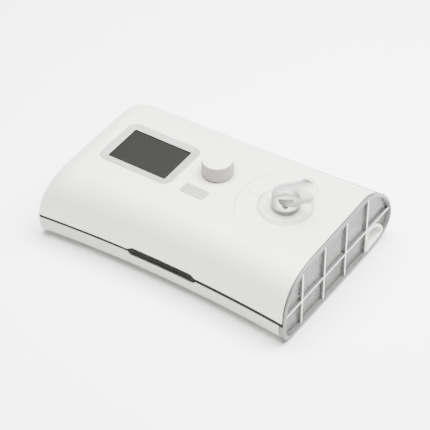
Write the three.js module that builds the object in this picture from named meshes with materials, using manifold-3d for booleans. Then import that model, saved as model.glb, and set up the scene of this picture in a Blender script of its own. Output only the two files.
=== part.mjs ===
// A bedside positive airway pressure machine with a built-in humidifier. A white case of two shells
// holds the blower and the electronics, a clear water tank fills its right end and slides out that
// way, and a clear elbow on top takes the air hose. Millimetres, +X to the tank end, +Y to the rear
// and +Z up. The origin is the middle of the footprint, on the plane that the feet stand on.
import * as THREE from 'three';
import { mergeVertices } from 'three/addons/utils/BufferGeometryUtils.js';
import Module from 'manifold-3d';

const wasm = await Module();
wasm.setup();

// Shared clearances: between neighbours, and by how much a cut passes its faces
const gap = 0.3;
const overrun = 2;

// Case outline: plan, height and end rounding
const bodyLeft = -146;
const shellRight = 142.8;
const baseRight = 139.1;
const tankFace = 146;
const frontWaist = 93.4;
const frontFlare = 7.7;
const rearWaist = 90.2;
const rearFlare = 10.9;
const rearFlareStart = -111;
const underside = 1.5;
const deckHeight = 77.25;
const deckTilt = THREE.MathUtils.degToRad(2);
const wall = 2.5;
const endRoundTop = 28;
const endRoundFront = 6;
const endRoundRear = 18;
const endRoundUnder = 6;

// Case outline seen from the right end: each curve has four points, a share of the depth in front
// of or behind the middle, then a share of the height there
const undersideRearShares = [[0.5, 0], [0.61, 0], [0.75, 0.0265], [0.85, 0.057]];
const noseShares = [[0.85, 0.057], [0.94, 0.0885], [1, 0.17], [1, 0.297]];
const shoulderRearShares = [[1, 0.297], [0.979, 0.639], [0.653, 1], [0.435, 1]];
const shoulderFrontShares = [[0.495, 1], [0.868, 1], [1, 0.741], [1, 0.367]];
const sillFrontShares = [[1, 0.285], [1, 0.09], [0.95, 0], [0.83, 0]];
const fineSteps = [2, 4, 8, 8, 4];
const plainSteps = [1, 3, 5, 5, 2];
const endRoundSteps = 5;
const lengthSteps = 5;

// Seam between the shells: low along the front, climbing over the ends to the rear shoulder
const seamHeight = 26;
const seamTopBelowDeck = 6.25;
const seamRise = deckHeight - seamTopBelowDeck - seamHeight;
const seamLevelEnd = -70;
const seamTop = 74;
const seamGap = 1.5;
const seamWideGap = 2.4;
const seamInset = 0.3;

// Grille in the front seam
const grilleMiddle = 0.7;
const grilleHalfLength = 43;
const grilleTopHalfLength = 34.4;
const grilleFootHalfLength = 37.1;
const grilleTop = 31.2;
const grilleFoot = 20.8;
const grilleInset = 1.2;
const grilleDepth = 2.1;
const grilleGrooves = 12;
const grilleGrooveWidth = 1.6;
const grilleGrooveDepth = 1.1;
const grilleLip = 2.4;
const grilleLean = THREE.MathUtils.degToRad(25);

// Screen: bezel, lens and display behind it
const screenX = -70.8;
const screenY = -9.6;
const windowLength = 68.5;
const windowDepth = 47.3;
const windowCorner = 1.5;
const windowSink = 1;
const bezelSideBorder = 8.5;
const bezelFrontBorder = 7.65;
const bezelLength = windowLength + 2 * bezelSideBorder;
const bezelDepth = windowDepth + 2 * bezelFrontBorder;
const bezelCorner = 9;
const bezelEdge = 1.2;
const bezelLip = 1.6;
const bezelFlange = 2.6;
const bezelFlangeThick = 1.5;
const lensSink = 0.2;
const displayMargin = 2.8;

// Board under the deck, on four posts
const boardThick = 1.6;
const boardLeft = -122;
const boardRight = 14;
const boardFront = -44;
const boardRear = 26;
const boardBelowDeck = 10.5;
const deckPostRadius = 2.5;
const deckPostInset = 3.6;
const deckPostByKeyX = -21;

// Knob and its encoder
const knobX = 1.9;
const knobY = 3.3;
const knobFootRadius = 16.6;
const knobTopRadius = 15.5;
const knobHeight = 16;
const knobEdge = 1;
const knobSkirt = 2.2;
const knobCrown = 4;
const knobHubRadius = 6;
const knobFootBelowDeck = 0.2;
const knobPress = 0.8;
const dishRadius = 21.3;
const dishFloorRadius = 17.8;
const dishDepth = 1.5;
const dishPad = 1.7;
const shaftRadius = 3;
const encoderWidth = 13;
const encoderHeight = 5.6;
const encoderFloor = 1.4;
const plungerRadius = 3.3;
const plungerThick = 0.9;

// Menu key and its switch
const keyX = -0.9;
const keyY = -33.5;
const keyLength = 26.8;
const keyDepth = 13.2;
const keyCorner = 3;
const keyProud = 0.4;
const keyPress = 0.6;
const keyFlange = 1.4;
const keyFlangeThick = 1.2;
const keyStemRadius = 2;
const keyStemLength = 2.2;
const switchWidth = 6;
const switchHeight = 2.6;
const switchTipRadius = 1.5;

// Air outlet: fixed port in the deck and the elbow that turns on it
const outletX = 85.3;
const outletY = -4.4;
const portRadius = 13.4;
const portBore = 10.6;
const portRise = 4.6;
const portFlange = 4;
const portFlangeThick = 1.9;
const webThick = 1.5;
const webBelowTop = 0.4;
const webHoleRadius = 8.8;
const portSealThick = 1.2;
const portSealDepth = 1.2;
const portSealHeight = 2.2;
const elbowFlangeRadius = 27;
const elbowFlangeThick = 1.5;
const elbowRimRise = 3;
const elbowRimThick = 1.4;
const elbowBarrelRadius = 14.8;
const elbowCornerRadius = 13.4;
const elbowCornerReach = 3;
const elbowCornerSteps = 3;
const elbowRibs = 6;
const elbowRibThick = 1.6;
const hoseRadius = 11.2;
const hoseWall = 1.8;
const hoseRise = THREE.MathUtils.degToRad(35);
const hoseCross = 14.1;
const hoseReach = 26.2;
const mouthRadius = 12.3;
const mouthLength = 2.6;

// Air openings between the dry side and the tank
const lidBelowDeck = 21.25;
const lidTop = deckHeight - lidBelowDeck;
const openingBelowLid = 12;
const openingZ = lidTop - openingBelowLid;
const ductHeight = 14;
const ductWall = 1.3;

// Water tank and the bay that it slides into
const bulkheadX = 38;
const bulkheadThick = 2.5;
const bulkheadBelowLid = 1;
const tankGap = 1.2;
const tankLeft = 42.5;
const tankFloor = 8.6;
const tankWall = 2;
const rimBelowOpening = 4.4;
const tubRim = openingZ - ductHeight / 2 - rimBelowOpening;
const lidSealThick = 0.7;
const railThick = 4;
const railFrontY = -60;
const railRearY = 48;
const endPlugInset = 2.9;
const endPlugLeft = 138.8;
const endPocketDepth = 4.5;
const endPocketInset = 4.4;
const endRimInset = 3.2;
const endStepDepth = 2;
const endEdge = 1.2;
const endRibThick = 2;
const endRibSink = 1.5;
const endRibSpacing = 40;
const endRibShift = -7.5;
const endRibs = 4;
const shelfAboveRim = 0.6;
const endShelf = tubRim + shelfAboveRim;
const gripY = 55.6;
const gripFoot = 3;
const gripBelowShelf = 4.2;
const gripTop = endShelf - gripBelowShelf;
const gripReach = 30;
const gripCorner = 3;
const gripSteps = 6;
const gripCornerTurn = THREE.MathUtils.degToRad(22.5);
const gripDepth = 14;
const gripWall = 1.6;

// Tank heating
const heaterX = 92;
const heaterY = -6;
const heaterRadius = 31;
const heaterThick = 1.3;
const heaterMountThick = 2;
const heatPlateRadius = 30;
const heatPlateFlange = 3.5;
const heatPlateFlangeThick = 1.5;

// Air ducts that end at the openings
const ductLead = 2;
const ductSteps = 8;
const outletDuctWidth = 20;
const outletDuctBelowDeck = 12.85;
const outletDuctZ = deckHeight - outletDuctBelowDeck;
const outletDuctEnd = 101;
const blowerDuctWidth = 22;
const blowerDuctY = 25;
const openingSealBorder = 2.6;

// Blower
const blowerX = -58;
const blowerY = 0;
const blowerRadius = 36;
const blowerFoot = 10.3;
const blowerHeight = 18;
const blowerWall = 2.5;
const blowerEye = 13;
const blowerOutletX = -16;
const impellerRadius = 29;
const impellerGap = 2.2;
const impellerDisc = 1.6;
const impellerBlades = 9;
const bladeThick = 1.4;
const bladeLean = THREE.MathUtils.degToRad(40);
const impellerHub = 5;
const spindleRadius = 1.5;
const motorRadius = 17;
const motorBelowDeck = 23.85;
const motorCrown = 4;
const mountRadius = 4;
const mountCircle = 28;
const mounts = 4;

// Main board, its larger components, the card and its reader
const mainBoardLeft = -128;
const mainBoardRight = -100;
const mainBoardHalfDepth = 52;
const mainBoardZ = 9;
const mainBoardThick = 1.6;
const standoffRadius = 3;
const capacitorRadius = 5;
const capacitorHeight = 12;
const capacitors = 3;
const capacitorGap = 1.5;
const connectorHeight = 6;
const connectorWidth = 8;
const cardFromBoardEnd = 27;
const cardY = cardFromBoardEnd - mainBoardHalfDepth;
const cardZ = 14.5;
const cardWidth = 24;
const cardThick = 2.1;
const cardLength = 32;
const cardSink = 0.4;
const scoopRadius = 7;
const scoopDepth = 1.8;
const scoopHeight = 9;
const readerWall = 1.5;
const ribbonY = 8;
const ribbonX = -109;
const ribbonSway = 4;
const ribbonWidth = 16;
const ribbonThick = 0.8;

// Air inlet filter and its cover in the left end
const filterFront = 2;
const filterRear = 50;
const filterBottom = 12;
const filterTop = 40;
const filterBoxDepth = 13;
const filterBoxWall = 2;
const filterThick = 6;
const filterVentMargin = 6;
const coverThick = 2.2;
const coverRim = 1.6;
const coverLouvres = 5;
const louvreWidth = 2;
const louvreMargin = 6;

// Power inlet in a niche of the rear wall
const inletX = -100;
const inletZ = 25;
const nicheLength = 24;
const nicheHeight = 22;
const nicheFloorY = 80.5;
const jackRadius = 5.5;
const jackBore = 3.2;
const jackPin = 1;
const jackFlange = 2;
const jackFlangeThick = 1.5;
const jackRise = 5.5;
const jackBack = 9;

// Feet and case screws
const footRadius = 8;
const footThick = 2.5;
const footPlaces = { left: -96, right: 112, front: -69, rear: 36 };
const screwPlaces = { left: -118, right: 24, front: -68, rear: 64 };
const screwSplit = 30;
const screwRadius = 1.5;
const screwLength = 36;
const screwHeadRadius = 3;
const screwHeadThick = 2.4;
const screwHeadZ = 4.2;
const bossRadius = 5.5;

// Sides of round parts
const fineSides = 28;
const roundSides = 20;
const smallSides = 10;

// Materials
function finish(color, roughness, metalness = 0, opacity = 1) {
  return new THREE.MeshStandardMaterial({ color, roughness, metalness, opacity, transparent: opacity < 1 });
}
const whiteShell = finish(0xedede9, 0.42);
const greyTrim = finish(0xcfcfca, 0.5);
const darkTrim = finish(0x3a3a38, 0.6);
const darkGlass = finish(0x4c4c4a, 0.12);
const clearPlastic = finish(0xe6eaea, 0.06, 0, 0.3);
const blackPlastic = finish(0x222222, 0.55);
const innerPlastic = finish(0xb9bcbd, 0.55);
const boardGreen = finish(0x2e5d3b, 0.5);
const steel = finish(0xb8babc, 0.3, 0.9);
const softSeal = finish(0x8f9496, 0.8);
const footRubber = finish(0x4a4a4a, 0.9);
const foamGrey = finish(0xd9dde0, 0.95);

// Closed geometry to a solid, placed by a matrix
function solid(geometry, matrix = new THREE.Matrix4()) {
  const bare = new THREE.BufferGeometry();
  bare.setAttribute('position', geometry.attributes.position.clone());
  if (geometry.index) bare.setIndex(geometry.index.clone());
  bare.applyMatrix4(matrix);
  const merged = mergeVertices(bare);
  const vertProperties = new Float32Array(merged.attributes.position.array);
  const triVerts = new Uint32Array(merged.index.array);
  return new wasm.Manifold(new wasm.Mesh({ numProp: 3, vertProperties, triVerts }));
}

// Solid back to a geometry that a mesh can hold
function geometryOf(body) {
  const { vertProperties, triVerts, numProp } = body.getMesh();
  const positions = new Float32Array((vertProperties.length / numProp) * 3);
  for (let i = 0; i < positions.length / 3; i += 1) {
    for (let k = 0; k < 3; k += 1) positions[3 * i + k] = vertProperties[numProp * i + k];
  }
  const geometry = new THREE.BufferGeometry();
  geometry.setAttribute('position', new THREE.BufferAttribute(positions, 3));
  geometry.setIndex(new THREE.BufferAttribute(new Uint32Array(triVerts), 1));
  geometry.computeVertexNormals();
  return geometry;
}

function piece(name, body, material) {
  const mesh = new THREE.Mesh(geometryOf(body), material);
  mesh.name = name;
  return mesh;
}

function joined(bodies) {
  return bodies.reduce((sum, body) => sum.add(body));
}

function placed(body, matrix) {
  return solid(geometryOf(body), matrix);
}

// Span of a width about a middle
function around(middle, width) {
  return [middle - width / 2, middle + width / 2];
}

// Plain solids between named faces
function block(x, y, z) {
  const geometry = new THREE.BoxGeometry(x[1] - x[0], y[1] - y[0], z[1] - z[0]);
  geometry.translate((x[0] + x[1]) / 2, (y[0] + y[1]) / 2, (z[0] + z[1]) / 2);
  return solid(geometry);
}

function cone(footRadiusThere, topRadius, z, x = 0, y = 0, sides = roundSides) {
  const geometry = new THREE.CylinderGeometry(topRadius, footRadiusThere, z[1] - z[0], sides);
  geometry.rotateX(Math.PI / 2);
  geometry.translate(x, y, (z[0] + z[1]) / 2);
  return solid(geometry);
}

function drum(radius, z, x = 0, y = 0, sides = roundSides) {
  return cone(radius, radius, z, x, y, sides);
}

function drumAlongY(radius, y, x, z, sides = roundSides) {
  const geometry = new THREE.CylinderGeometry(radius, radius, y[1] - y[0], sides);
  geometry.translate(x, (y[0] + y[1]) / 2, z);
  return solid(geometry);
}

function turned(points, sides = roundSides) {
  const geometry = new THREE.LatheGeometry(points.map(([r, z]) => new THREE.Vector2(r, z)), sides);
  geometry.rotateX(Math.PI / 2);
  return solid(geometry);
}

function roundedShape(length, depth, corner) {
  const shape = new THREE.Shape();
  const x = length / 2 - corner;
  const y = depth / 2 - corner;
  shape.absarc(x, y, corner, 0, Math.PI / 2);
  shape.absarc(-x, y, corner, Math.PI / 2, Math.PI);
  shape.absarc(-x, -y, corner, Math.PI, 1.5 * Math.PI);
  shape.absarc(x, -y, corner, 1.5 * Math.PI, 2 * Math.PI);
  return shape;
}

function extruded(shape, length, curveSegments = 3) {
  return new THREE.ExtrudeGeometry(shape, { depth: length, bevelEnabled: false, curveSegments });
}

function tablet(length, depth, corner, z, x = 0, y = 0) {
  const geometry = extruded(roundedShape(length, depth, corner), z[1] - z[0]);
  geometry.translate(x, y, z[0]);
  return solid(geometry);
}

// Extrusions of an outline in X and Z along Y, and of one in Y and Z along X
const turnToY = new THREE.Matrix4().makeBasis(
  new THREE.Vector3(1, 0, 0), new THREE.Vector3(0, 0, 1), new THREE.Vector3(0, -1, 0));
const turnToX = new THREE.Matrix4().makeBasis(
  new THREE.Vector3(0, 1, 0), new THREE.Vector3(0, 0, 1), new THREE.Vector3(1, 0, 0));

function shapeOf(points) {
  return new THREE.Shape(points.map(([a, b]) => new THREE.Vector2(a, b)));
}

function slabY(shape, y) {
  const move = new THREE.Matrix4().makeTranslation(0, y[1], 0);
  return solid(extruded(shape, y[1] - y[0]), move.multiply(turnToY));
}

function slabX(shape, x) {
  const move = new THREE.Matrix4().makeTranslation(x[0], 0, 0);
  return solid(extruded(shape, x[1] - x[0], 8), move.multiply(turnToX));
}

// Stack of rings, each a list of points of equal count. The ends are closed by flat caps, cut up in
// the plane of the flat outline
function stack(rings, flat = rings[0].map((p) => new THREE.Vector2(p.y, p.z))) {
  const count = rings[0].length;
  const index = [];
  for (let i = 0; i + 1 < rings.length; i += 1) {
    for (let j = 0; j < count; j += 1) {
      const next = (j + 1) % count;
      const [a, b, c, d] = [i * count + j, i * count + next, (i + 1) * count + j, (i + 1) * count + next];
      index.push(a, b, d, a, d, c);
    }
  }
  const last = (rings.length - 1) * count;
  for (const [a, b, c] of THREE.ShapeUtils.triangulateShape(flat, [])) {
    index.push(a, c, b, last + a, last + b, last + c);
  }
  const geometry = new THREE.BufferGeometry();
  const positions = rings.flat().flatMap((p) => [p.x, p.y, p.z]);
  geometry.setAttribute('position', new THREE.BufferAttribute(new Float32Array(positions), 3));
  geometry.setIndex(index);
  return solid(geometry);
}

// Tapered tablet between two rounded outlines
function taperedTablet(low, high, x, y) {
  const ring = ([length, depth, corner, z]) => roundedShape(length, depth, corner).getPoints(4)
    .slice(0, -1).map((p) => new THREE.Vector3(x + p.x, y + p.y, z));
  const rings = [ring(low), ring(high)];
  return stack(rings, rings[0].map((p) => new THREE.Vector2(p.x, p.y)));
}

// Round bar along a path in the plane of X and Z
function pipe(path, radius, sides = roundSides) {
  const flat = [];
  for (let j = 0; j < sides; j += 1) {
    const turn = (j / sides) * 2 * Math.PI;
    flat.push(new THREE.Vector2(Math.cos(turn), Math.sin(turn)));
  }
  const rings = path.map((point, i) => {
    const before = path[Math.max(i - 1, 0)];
    const after = path[Math.min(i + 1, path.length - 1)];
    const [dx, dz] = [after[0] - before[0], after[1] - before[1]];
    const length = Math.hypot(dx, dz);
    return flat.map((p) => new THREE.Vector3(
      point[0] - (radius * p.y * dz) / length, radius * p.x, point[1] + (radius * p.y * dx) / length));
  });
  return stack(rings, flat);
}

// Outline of a strip of a given half height along a path in the plane of X and Z
function stripShape(path, half) {
  const sides = [[], []];
  path.forEach((point, i) => {
    const before = path[Math.max(i - 1, 0)];
    const after = path[Math.min(i + 1, path.length - 1)];
    const [dx, dz] = [after[0] - before[0], after[1] - before[1]];
    const length = Math.hypot(dx, dz);
    sides[0].push([point[0] - (half * dz) / length, point[1] + (half * dx) / length]);
    sides[1].push([point[0] + (half * dz) / length, point[1] - (half * dx) / length]);
  });
  return shapeOf([...sides[0], ...sides[1].reverse()]);
}

// Height of the deck plane, in which the screen, knob, key and outlet sit
function deckZ(y) {
  return deckHeight + Math.tan(deckTilt) * y;
}

const deckFrame = new THREE.Matrix4().makeTranslation(0, 0, deckHeight)
  .multiply(new THREE.Matrix4().makeRotationX(deckTilt));

function onDeck(body) {
  return placed(body, deckFrame);
}

// Outline of the case in shares, once round from the underside
function outlineInShares(steps) {
  const curve = (shares, side) => new THREE.CubicBezierCurve(
    ...shares.map(([depth, height]) => new THREE.Vector2(side * depth, height)));
  const runs = [
    curve(undersideRearShares, 1),
    curve(noseShares, 1),
    curve(shoulderRearShares, 1),
    curve(shoulderFrontShares, -1),
    curve(sillFrontShares, -1),
  ];
  const points = runs.flatMap((run, i) => run.getPoints(steps[i]));
  return points.filter((point, i) => i === 0 || !point.equals(points[i - 1]));
}
const fineOutline = outlineInShares(fineSteps);
const plainOutline = outlineInShares(plainSteps);

function frontDepth(x) {
  return frontWaist + frontFlare * (x / tankFace) ** 2;
}

function rearDepth(x) {
  const along = Math.max(x - rearFlareStart, 0) / (tankFace - rearFlareStart);
  return rearWaist + rearFlare * along ** 2;
}

// One ring of the case at x, drawn in by inset, with the left end's rounding
function caseRing(x, inset, outline) {
  const reach = x - bodyLeft - inset;
  const drawnIn = (radius) => {
    const inner = Math.max(radius - inset, 0);
    return reach < inner ? inner - Math.sqrt(Math.max(inner ** 2 - (inner - reach) ** 2, 0)) : 0;
  };
  const front = frontDepth(x) - inset - drawnIn(endRoundFront);
  const rear = rearDepth(x) - inset - drawnIn(endRoundRear);
  const low = underside + inset + drawnIn(endRoundUnder);
  const drop = inset + drawnIn(endRoundTop);
  return outline.map((share) => {
    const y = share.x * (share.x < 0 ? front : rear);
    return new THREE.Vector3(x, y, low + share.y * (deckZ(y) - drop - low));
  });
}

// Case volume drawn in by inset, from its own left end or a stated one, up to right
function caseVolume(inset, right, left = bodyLeft + inset, outline = plainOutline) {
  const start = bodyLeft + inset;
  const rounding = Math.max(endRoundTop - inset, 0);
  const places = [];
  for (let i = 0; i < endRoundSteps; i += 1) {
    places.push(start + rounding * (1 - Math.cos((i / endRoundSteps) * (Math.PI / 2))));
  }
  const straight = start + rounding;
  for (let i = 0; i <= lengthSteps; i += 1) places.push(straight + ((right - straight) * i) / lengthSteps);
  const inside = places.filter((x) => x > left + gap);
  return stack([left, ...inside].map((x) => caseRing(x, inset, outline)));
}

// Seam line across the case, lifted by lift, and the space between two such lines
const farFront = -2 * frontWaist;
const farRear = 2 * rearWaist;
const caseDepth = [farFront, farRear];
const caseHeight = [-overrun, 2 * deckHeight];

function seamLine(lift) {
  const rear = seamHeight + seamRise + lift;
  return [[farFront, seamHeight + lift], [seamLevelEnd, seamHeight + lift], [seamTop, rear], [farRear, rear]];
}

function levelLine(z) {
  return [[farFront, z], [farRear, z]];
}

function between(low, high) {
  return slabX(shapeOf([...low, ...high.reverse()]), [bodyLeft - overrun, tankFace + overrun]);
}

const aboveSeam = between(seamLine(seamGap / 2), levelLine(caseHeight[1]));
const belowSeam = between(levelLine(caseHeight[0]), seamLine(-seamGap / 2));
const inSeam = between(seamLine(gap - seamGap / 2), seamLine(seamGap / 2 - gap));

// Right of the grille the seam is wider, in the shells and in the strip that closes it
const frontRightSpan = block([grilleMiddle, tankFace], [farFront, 0], caseHeight);
const restOfSeam = block([bodyLeft, tankFace], caseDepth, caseHeight).subtract(frontRightSpan);
const wideSeam = between(seamLine(-seamWideGap / 2), seamLine(seamWideGap / 2)).intersect(frontRightSpan);
const inWideSeam = between(seamLine(gap - seamWideGap / 2), seamLine(seamWideGap / 2 - gap))
  .intersect(frontRightSpan);

// Grille opening in the front wall, drawn in by inset
function grillePrism(inset) {
  const middle = (grilleTop + grilleFoot) / 2;
  const right = [
    [grilleFootHalfLength - 2 * inset, grilleFoot + inset],
    [grilleHalfLength - 2 * inset, middle],
    [grilleTopHalfLength - 2 * inset, grilleTop - inset],
  ];
  const points = [
    ...right.map(([half, z]) => [grilleMiddle + half, z]),
    ...right.reverse().map(([half, z]) => [grilleMiddle - half, z]),
  ];
  return slabY(shapeOf(points), [farFront, -frontWaist / 2]);
}

// Case skin, the space that bosses and inner walls may reach into it, and the room that the grille takes
const caseSkin = caseVolume(0, shellRight, bodyLeft, fineOutline)
  .subtract(caseVolume(wall, shellRight + overrun));
const halfWay = caseVolume(wall / 2, shellRight);
const clearInside = caseVolume(wall + gap, shellRight);
const grilleRoom = grillePrism(-gap).subtract(caseVolume(grilleInset + grilleDepth + gap, shellRight));
const innerFloor = underside + wall;

// Levels below the deck plane
const deckUnder = -wall - gap;
const boardTop = -boardBelowDeck;
const throughDeck = [-2 * wall, overrun];

// Four places of a pattern with one x on each side and one y at front and rear
function corners({ left, right, front, rear }) {
  return [[left, front], [left, rear], [right, front], [right, rear]];
}

// Top cover: skin over the seam with the deck's openings, posts for the board and screw bosses
function makeTopCover() {
  const pad = drum(dishRadius + wall, [-wall - dishPad, -wall / 2], knobX, knobY);
  const postPlaces = [
    [boardLeft + deckPostInset, boardFront + deckPostInset],
    [boardLeft + deckPostInset, boardRear - deckPostInset],
    [boardRight - deckPostInset, boardRear - deckPostInset],
    [deckPostByKeyX, boardFront + deckPostInset],
  ];
  const postSpan = [boardTop + gap, -wall / 2];
  const posts = postPlaces.map(([x, y]) => drum(deckPostRadius, postSpan, x, y, smallSides));
  const room = clearInside.add(halfWay.intersect(aboveSeam));
  const bossSpan = [screwSplit + gap, deckHeight];
  const screwSpan = [screwSplit, screwHeadZ + screwLength + gap];
  const bosses = corners(screwPlaces).map(([x, y]) => drum(bossRadius, bossSpan, x, y, smallSides)
    .subtract(drum(screwRadius + gap, screwSpan, x, y, smallSides))
    .intersect(room));
  const dishTop = 2 * dishRadius - dishFloorRadius;
  const openings = onDeck(joined([
    tablet(bezelLength, bezelDepth, bezelCorner, throughDeck, screenX, screenY),
    tablet(keyLength + 2 * gap, keyDepth + 2 * gap, keyCorner + gap, throughDeck, keyX, keyY),
    drum(plungerRadius + gap, [-3 * wall, overrun], knobX, knobY, smallSides),
    cone(dishFloorRadius, dishTop, [-dishDepth, dishDepth], knobX, knobY),
    drum(portRadius + gap, throughDeck, outletX, outletY),
  ]));
  const skin = caseSkin.intersect(aboveSeam).subtract(wideSeam);
  return joined([skin, onDeck(joined([pad, ...posts])), ...bosses])
    .subtract(openings)
    .subtract(grillePrism(0));
}

// Openings through the bulkhead and the tank's lid for the air
function airOpening(x, y, ductWidth, grow) {
  const border = 2 * grow - 2 * ductWall;
  return block(x, around(y, ductWidth + border), around(openingZ, ductHeight + border));
}

function airOpenings(x, grow) {
  return joined([
    airOpening(x, outletY, outletDuctWidth, grow),
    airOpening(x, blowerDuctY, blowerDuctWidth, grow),
  ]);
}

// Bulkhead between the dry side and the tank bay
function makeBulkhead() {
  return block([bulkheadX, bulkheadX + bulkheadThick], caseDepth, [0, lidTop - bulkheadBelowLid])
    .intersect(clearInside)
    .subtract(grilleRoom)
    .subtract(airOpenings([bulkheadX - overrun, bulkheadX + bulkheadThick + overrun], 0));
}

// Hollow of the filter box and of the power niche, open to the outside
const filterHollow = block(
  [bodyLeft - overrun, bodyLeft + filterBoxDepth], [filterFront, filterRear], [filterBottom, filterTop]);
const nicheHollow = block(around(inletX, nicheLength), [nicheFloorY, farRear], around(inletZ, nicheHeight));

// Box behind the opening in the left end, with a vent in its inner wall
function makeFilterBox() {
  const vent = block(
    [bodyLeft, bodyLeft + filterBoxDepth + filterBoxWall + overrun],
    [filterFront + filterVentMargin, filterRear - filterVentMargin],
    [filterBottom + filterVentMargin, filterTop - filterVentMargin]);
  return block(
    [bodyLeft, bodyLeft + filterBoxDepth + filterBoxWall],
    [filterFront - filterBoxWall, filterRear + filterBoxWall],
    [filterBottom - filterBoxWall, filterTop + filterBoxWall])
    .intersect(clearInside)
    .subtract(filterHollow.add(vent));
}

// Niche behind the opening in the rear wall, with a hole for the power jack
function makePowerNiche() {
  const throughFloor = [nicheFloorY - 2 * wall, nicheFloorY + overrun];
  const jackHole = drumAlongY(jackRadius + gap, throughFloor, inletX, inletZ);
  return block(
    around(inletX, nicheLength + 2 * wall),
    [nicheFloorY - wall, farRear],
    around(inletZ, nicheHeight + 2 * wall))
    .intersect(clearInside)
    .subtract(nicheHollow.add(jackHole));
}

// Inner walls of the base, added to its skin: rails, screw bosses and standoffs of the main board
function baseInnerWalls() {
  const rail = (y) => block(
    [bulkheadX + bulkheadThick + gap, endPlugLeft - tankGap], around(y, railThick), [0, tankFloor - gap]);
  const bosses = corners(screwPlaces).map(([x, y]) => drum(bossRadius, [0, screwSplit], x, y, smallSides));
  const standoffs = corners({
    left: mainBoardLeft + standoffRadius,
    right: mainBoardRight - standoffRadius,
    front: standoffRadius - mainBoardHalfDepth,
    rear: mainBoardHalfDepth - standoffRadius,
  }).map(([x, y]) => drum(standoffRadius, [0, mainBoardZ - gap], x, y, smallSides));
  return joined([rail(railFrontY), rail(railRearY), ...bosses, ...standoffs]).intersect(halfWay);
}

// Hollows cut into the base from outside
function baseHollows() {
  const screwHoles = corners(screwPlaces).flatMap(([x, y]) => [
    drum(screwRadius + gap, [0, screwSplit + overrun], x, y, smallSides),
    drum(screwHeadRadius + gap, [0, screwHeadZ + screwHeadThick + gap], x, y, smallSides),
  ]);
  const footHoles = corners(footPlaces).map(([x, y]) => drum(footRadius + gap, [0, footThick + gap], x, y));
  const cardSlot = block(
    [bodyLeft - overrun, bodyLeft + wall + overrun],
    around(cardY, cardWidth + 2 * gap), around(cardZ, cardThick + 2 * gap));
  const scoop = drum(scoopRadius, around(cardZ, scoopHeight), bodyLeft + scoopDepth - scoopRadius, cardY);
  return joined([...screwHoles, ...footHoles, filterHollow, nicheHollow, cardSlot, scoop]);
}

function makeBaseShell() {
  return caseSkin.intersect(belowSeam)
    .subtract(wideSeam)
    .intersect(block([bodyLeft - overrun, baseRight], caseDepth, caseHeight))
    .subtract(grillePrism(0))
    .add(baseInnerWalls().subtract(grilleRoom))
    .subtract(baseHollows());
}

// Dark strip that closes the seam, in two lengths: one round the left end and one right of the grille
function makeSeamGasket(space) {
  return caseVolume(seamInset, shellRight)
    .subtract(caseVolume(wall, shellRight + overrun))
    .intersect(space)
    .subtract(grillePrism(-gap));
}

// Ribbed grille: leaning grooves above a plain lip
function makeFrontGrille() {
  const pitch = (2 * grilleTopHalfLength) / grilleGrooves;
  const height = grilleTop - grilleFoot;
  const grooveSpan = [grilleLip - height / 2, height / 2];
  const grooves = [];
  for (let i = 0; i < grilleGrooves; i += 1) {
    const groove = block(around(0, grilleGrooveWidth), [farFront, -frontWaist / 2], grooveSpan);
    const place = new THREE.Matrix4().makeTranslation(
      grilleMiddle - grilleTopHalfLength + (i + 0.5) * pitch, 0, (grilleTop + grilleFoot) / 2);
    grooves.push(placed(groove, place.multiply(new THREE.Matrix4().makeRotationY(grilleLean))));
  }
  const floor = caseVolume(grilleInset + grilleGrooveDepth, shellRight);
  return caseVolume(grilleInset, shellRight)
    .subtract(caseVolume(grilleInset + grilleDepth, shellRight + overrun))
    .intersect(grillePrism(gap))
    .subtract(joined(grooves).subtract(floor));
}

// Screen bezel with a sloped border round the window, and the pieces behind it
const bezelFoot = deckUnder - bezelFlangeThick;
const displayTop = -windowSink - bezelLip - gap;
const displayLength = windowLength + 2 * displayMargin;
const displayDepth = windowDepth + 2 * displayMargin;

function makeScreenBezel() {
  const frame = tablet(
    bezelLength - 2 * gap, bezelDepth - 2 * gap, bezelCorner - gap, [bezelFoot, 0], screenX, screenY);
  const flange = tablet(
    bezelLength + 2 * bezelFlange, bezelDepth + 2 * bezelFlange, bezelCorner + bezelFlange,
    [bezelFoot, deckUnder], screenX, screenY);
  const inEdge = (size) => size - 2 * gap - 2 * bezelEdge;
  const past = (low, high) => 2 * high - low;
  const slope = taperedTablet(
    [windowLength, windowDepth, windowCorner, -windowSink],
    [
      past(windowLength, inEdge(bezelLength)),
      past(windowDepth, inEdge(bezelDepth)),
      past(windowCorner, bezelCorner - bezelEdge),
      windowSink,
    ],
    screenX, screenY);
  const opening = tablet(windowLength, windowDepth, windowCorner, [2 * bezelFoot, overrun], screenX, screenY);
  const pocket = tablet(
    displayLength + 2 * gap, displayDepth + 2 * gap, windowCorner + gap,
    [2 * bezelFoot, displayTop + gap], screenX, screenY);
  return frame.add(flange).subtract(joined([slope, opening, pocket]));
}

function makeScreenLens() {
  return tablet(
    windowLength - 2 * gap, windowDepth - 2 * gap, windowCorner - gap,
    [displayTop + gap, -windowSink - lensSink], screenX, screenY);
}

function makeDisplay() {
  return tablet(displayLength, displayDepth, windowCorner, [boardTop + gap, displayTop], screenX, screenY);
}

function makeDisplayBoard() {
  return block([boardLeft, boardRight], [boardFront, boardRear], [boardTop - boardThick, boardTop]);
}

// Knob, its shaft, and the encoder that they turn and press
const encoderFoot = boardTop + gap;
const plungerFoot = encoderFoot + encoderFloor + gap + knobPress;
const shaftFoot = plungerFoot + plungerThick + gap;
const knobBoreTop = knobHeight - knobCrown;

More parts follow.
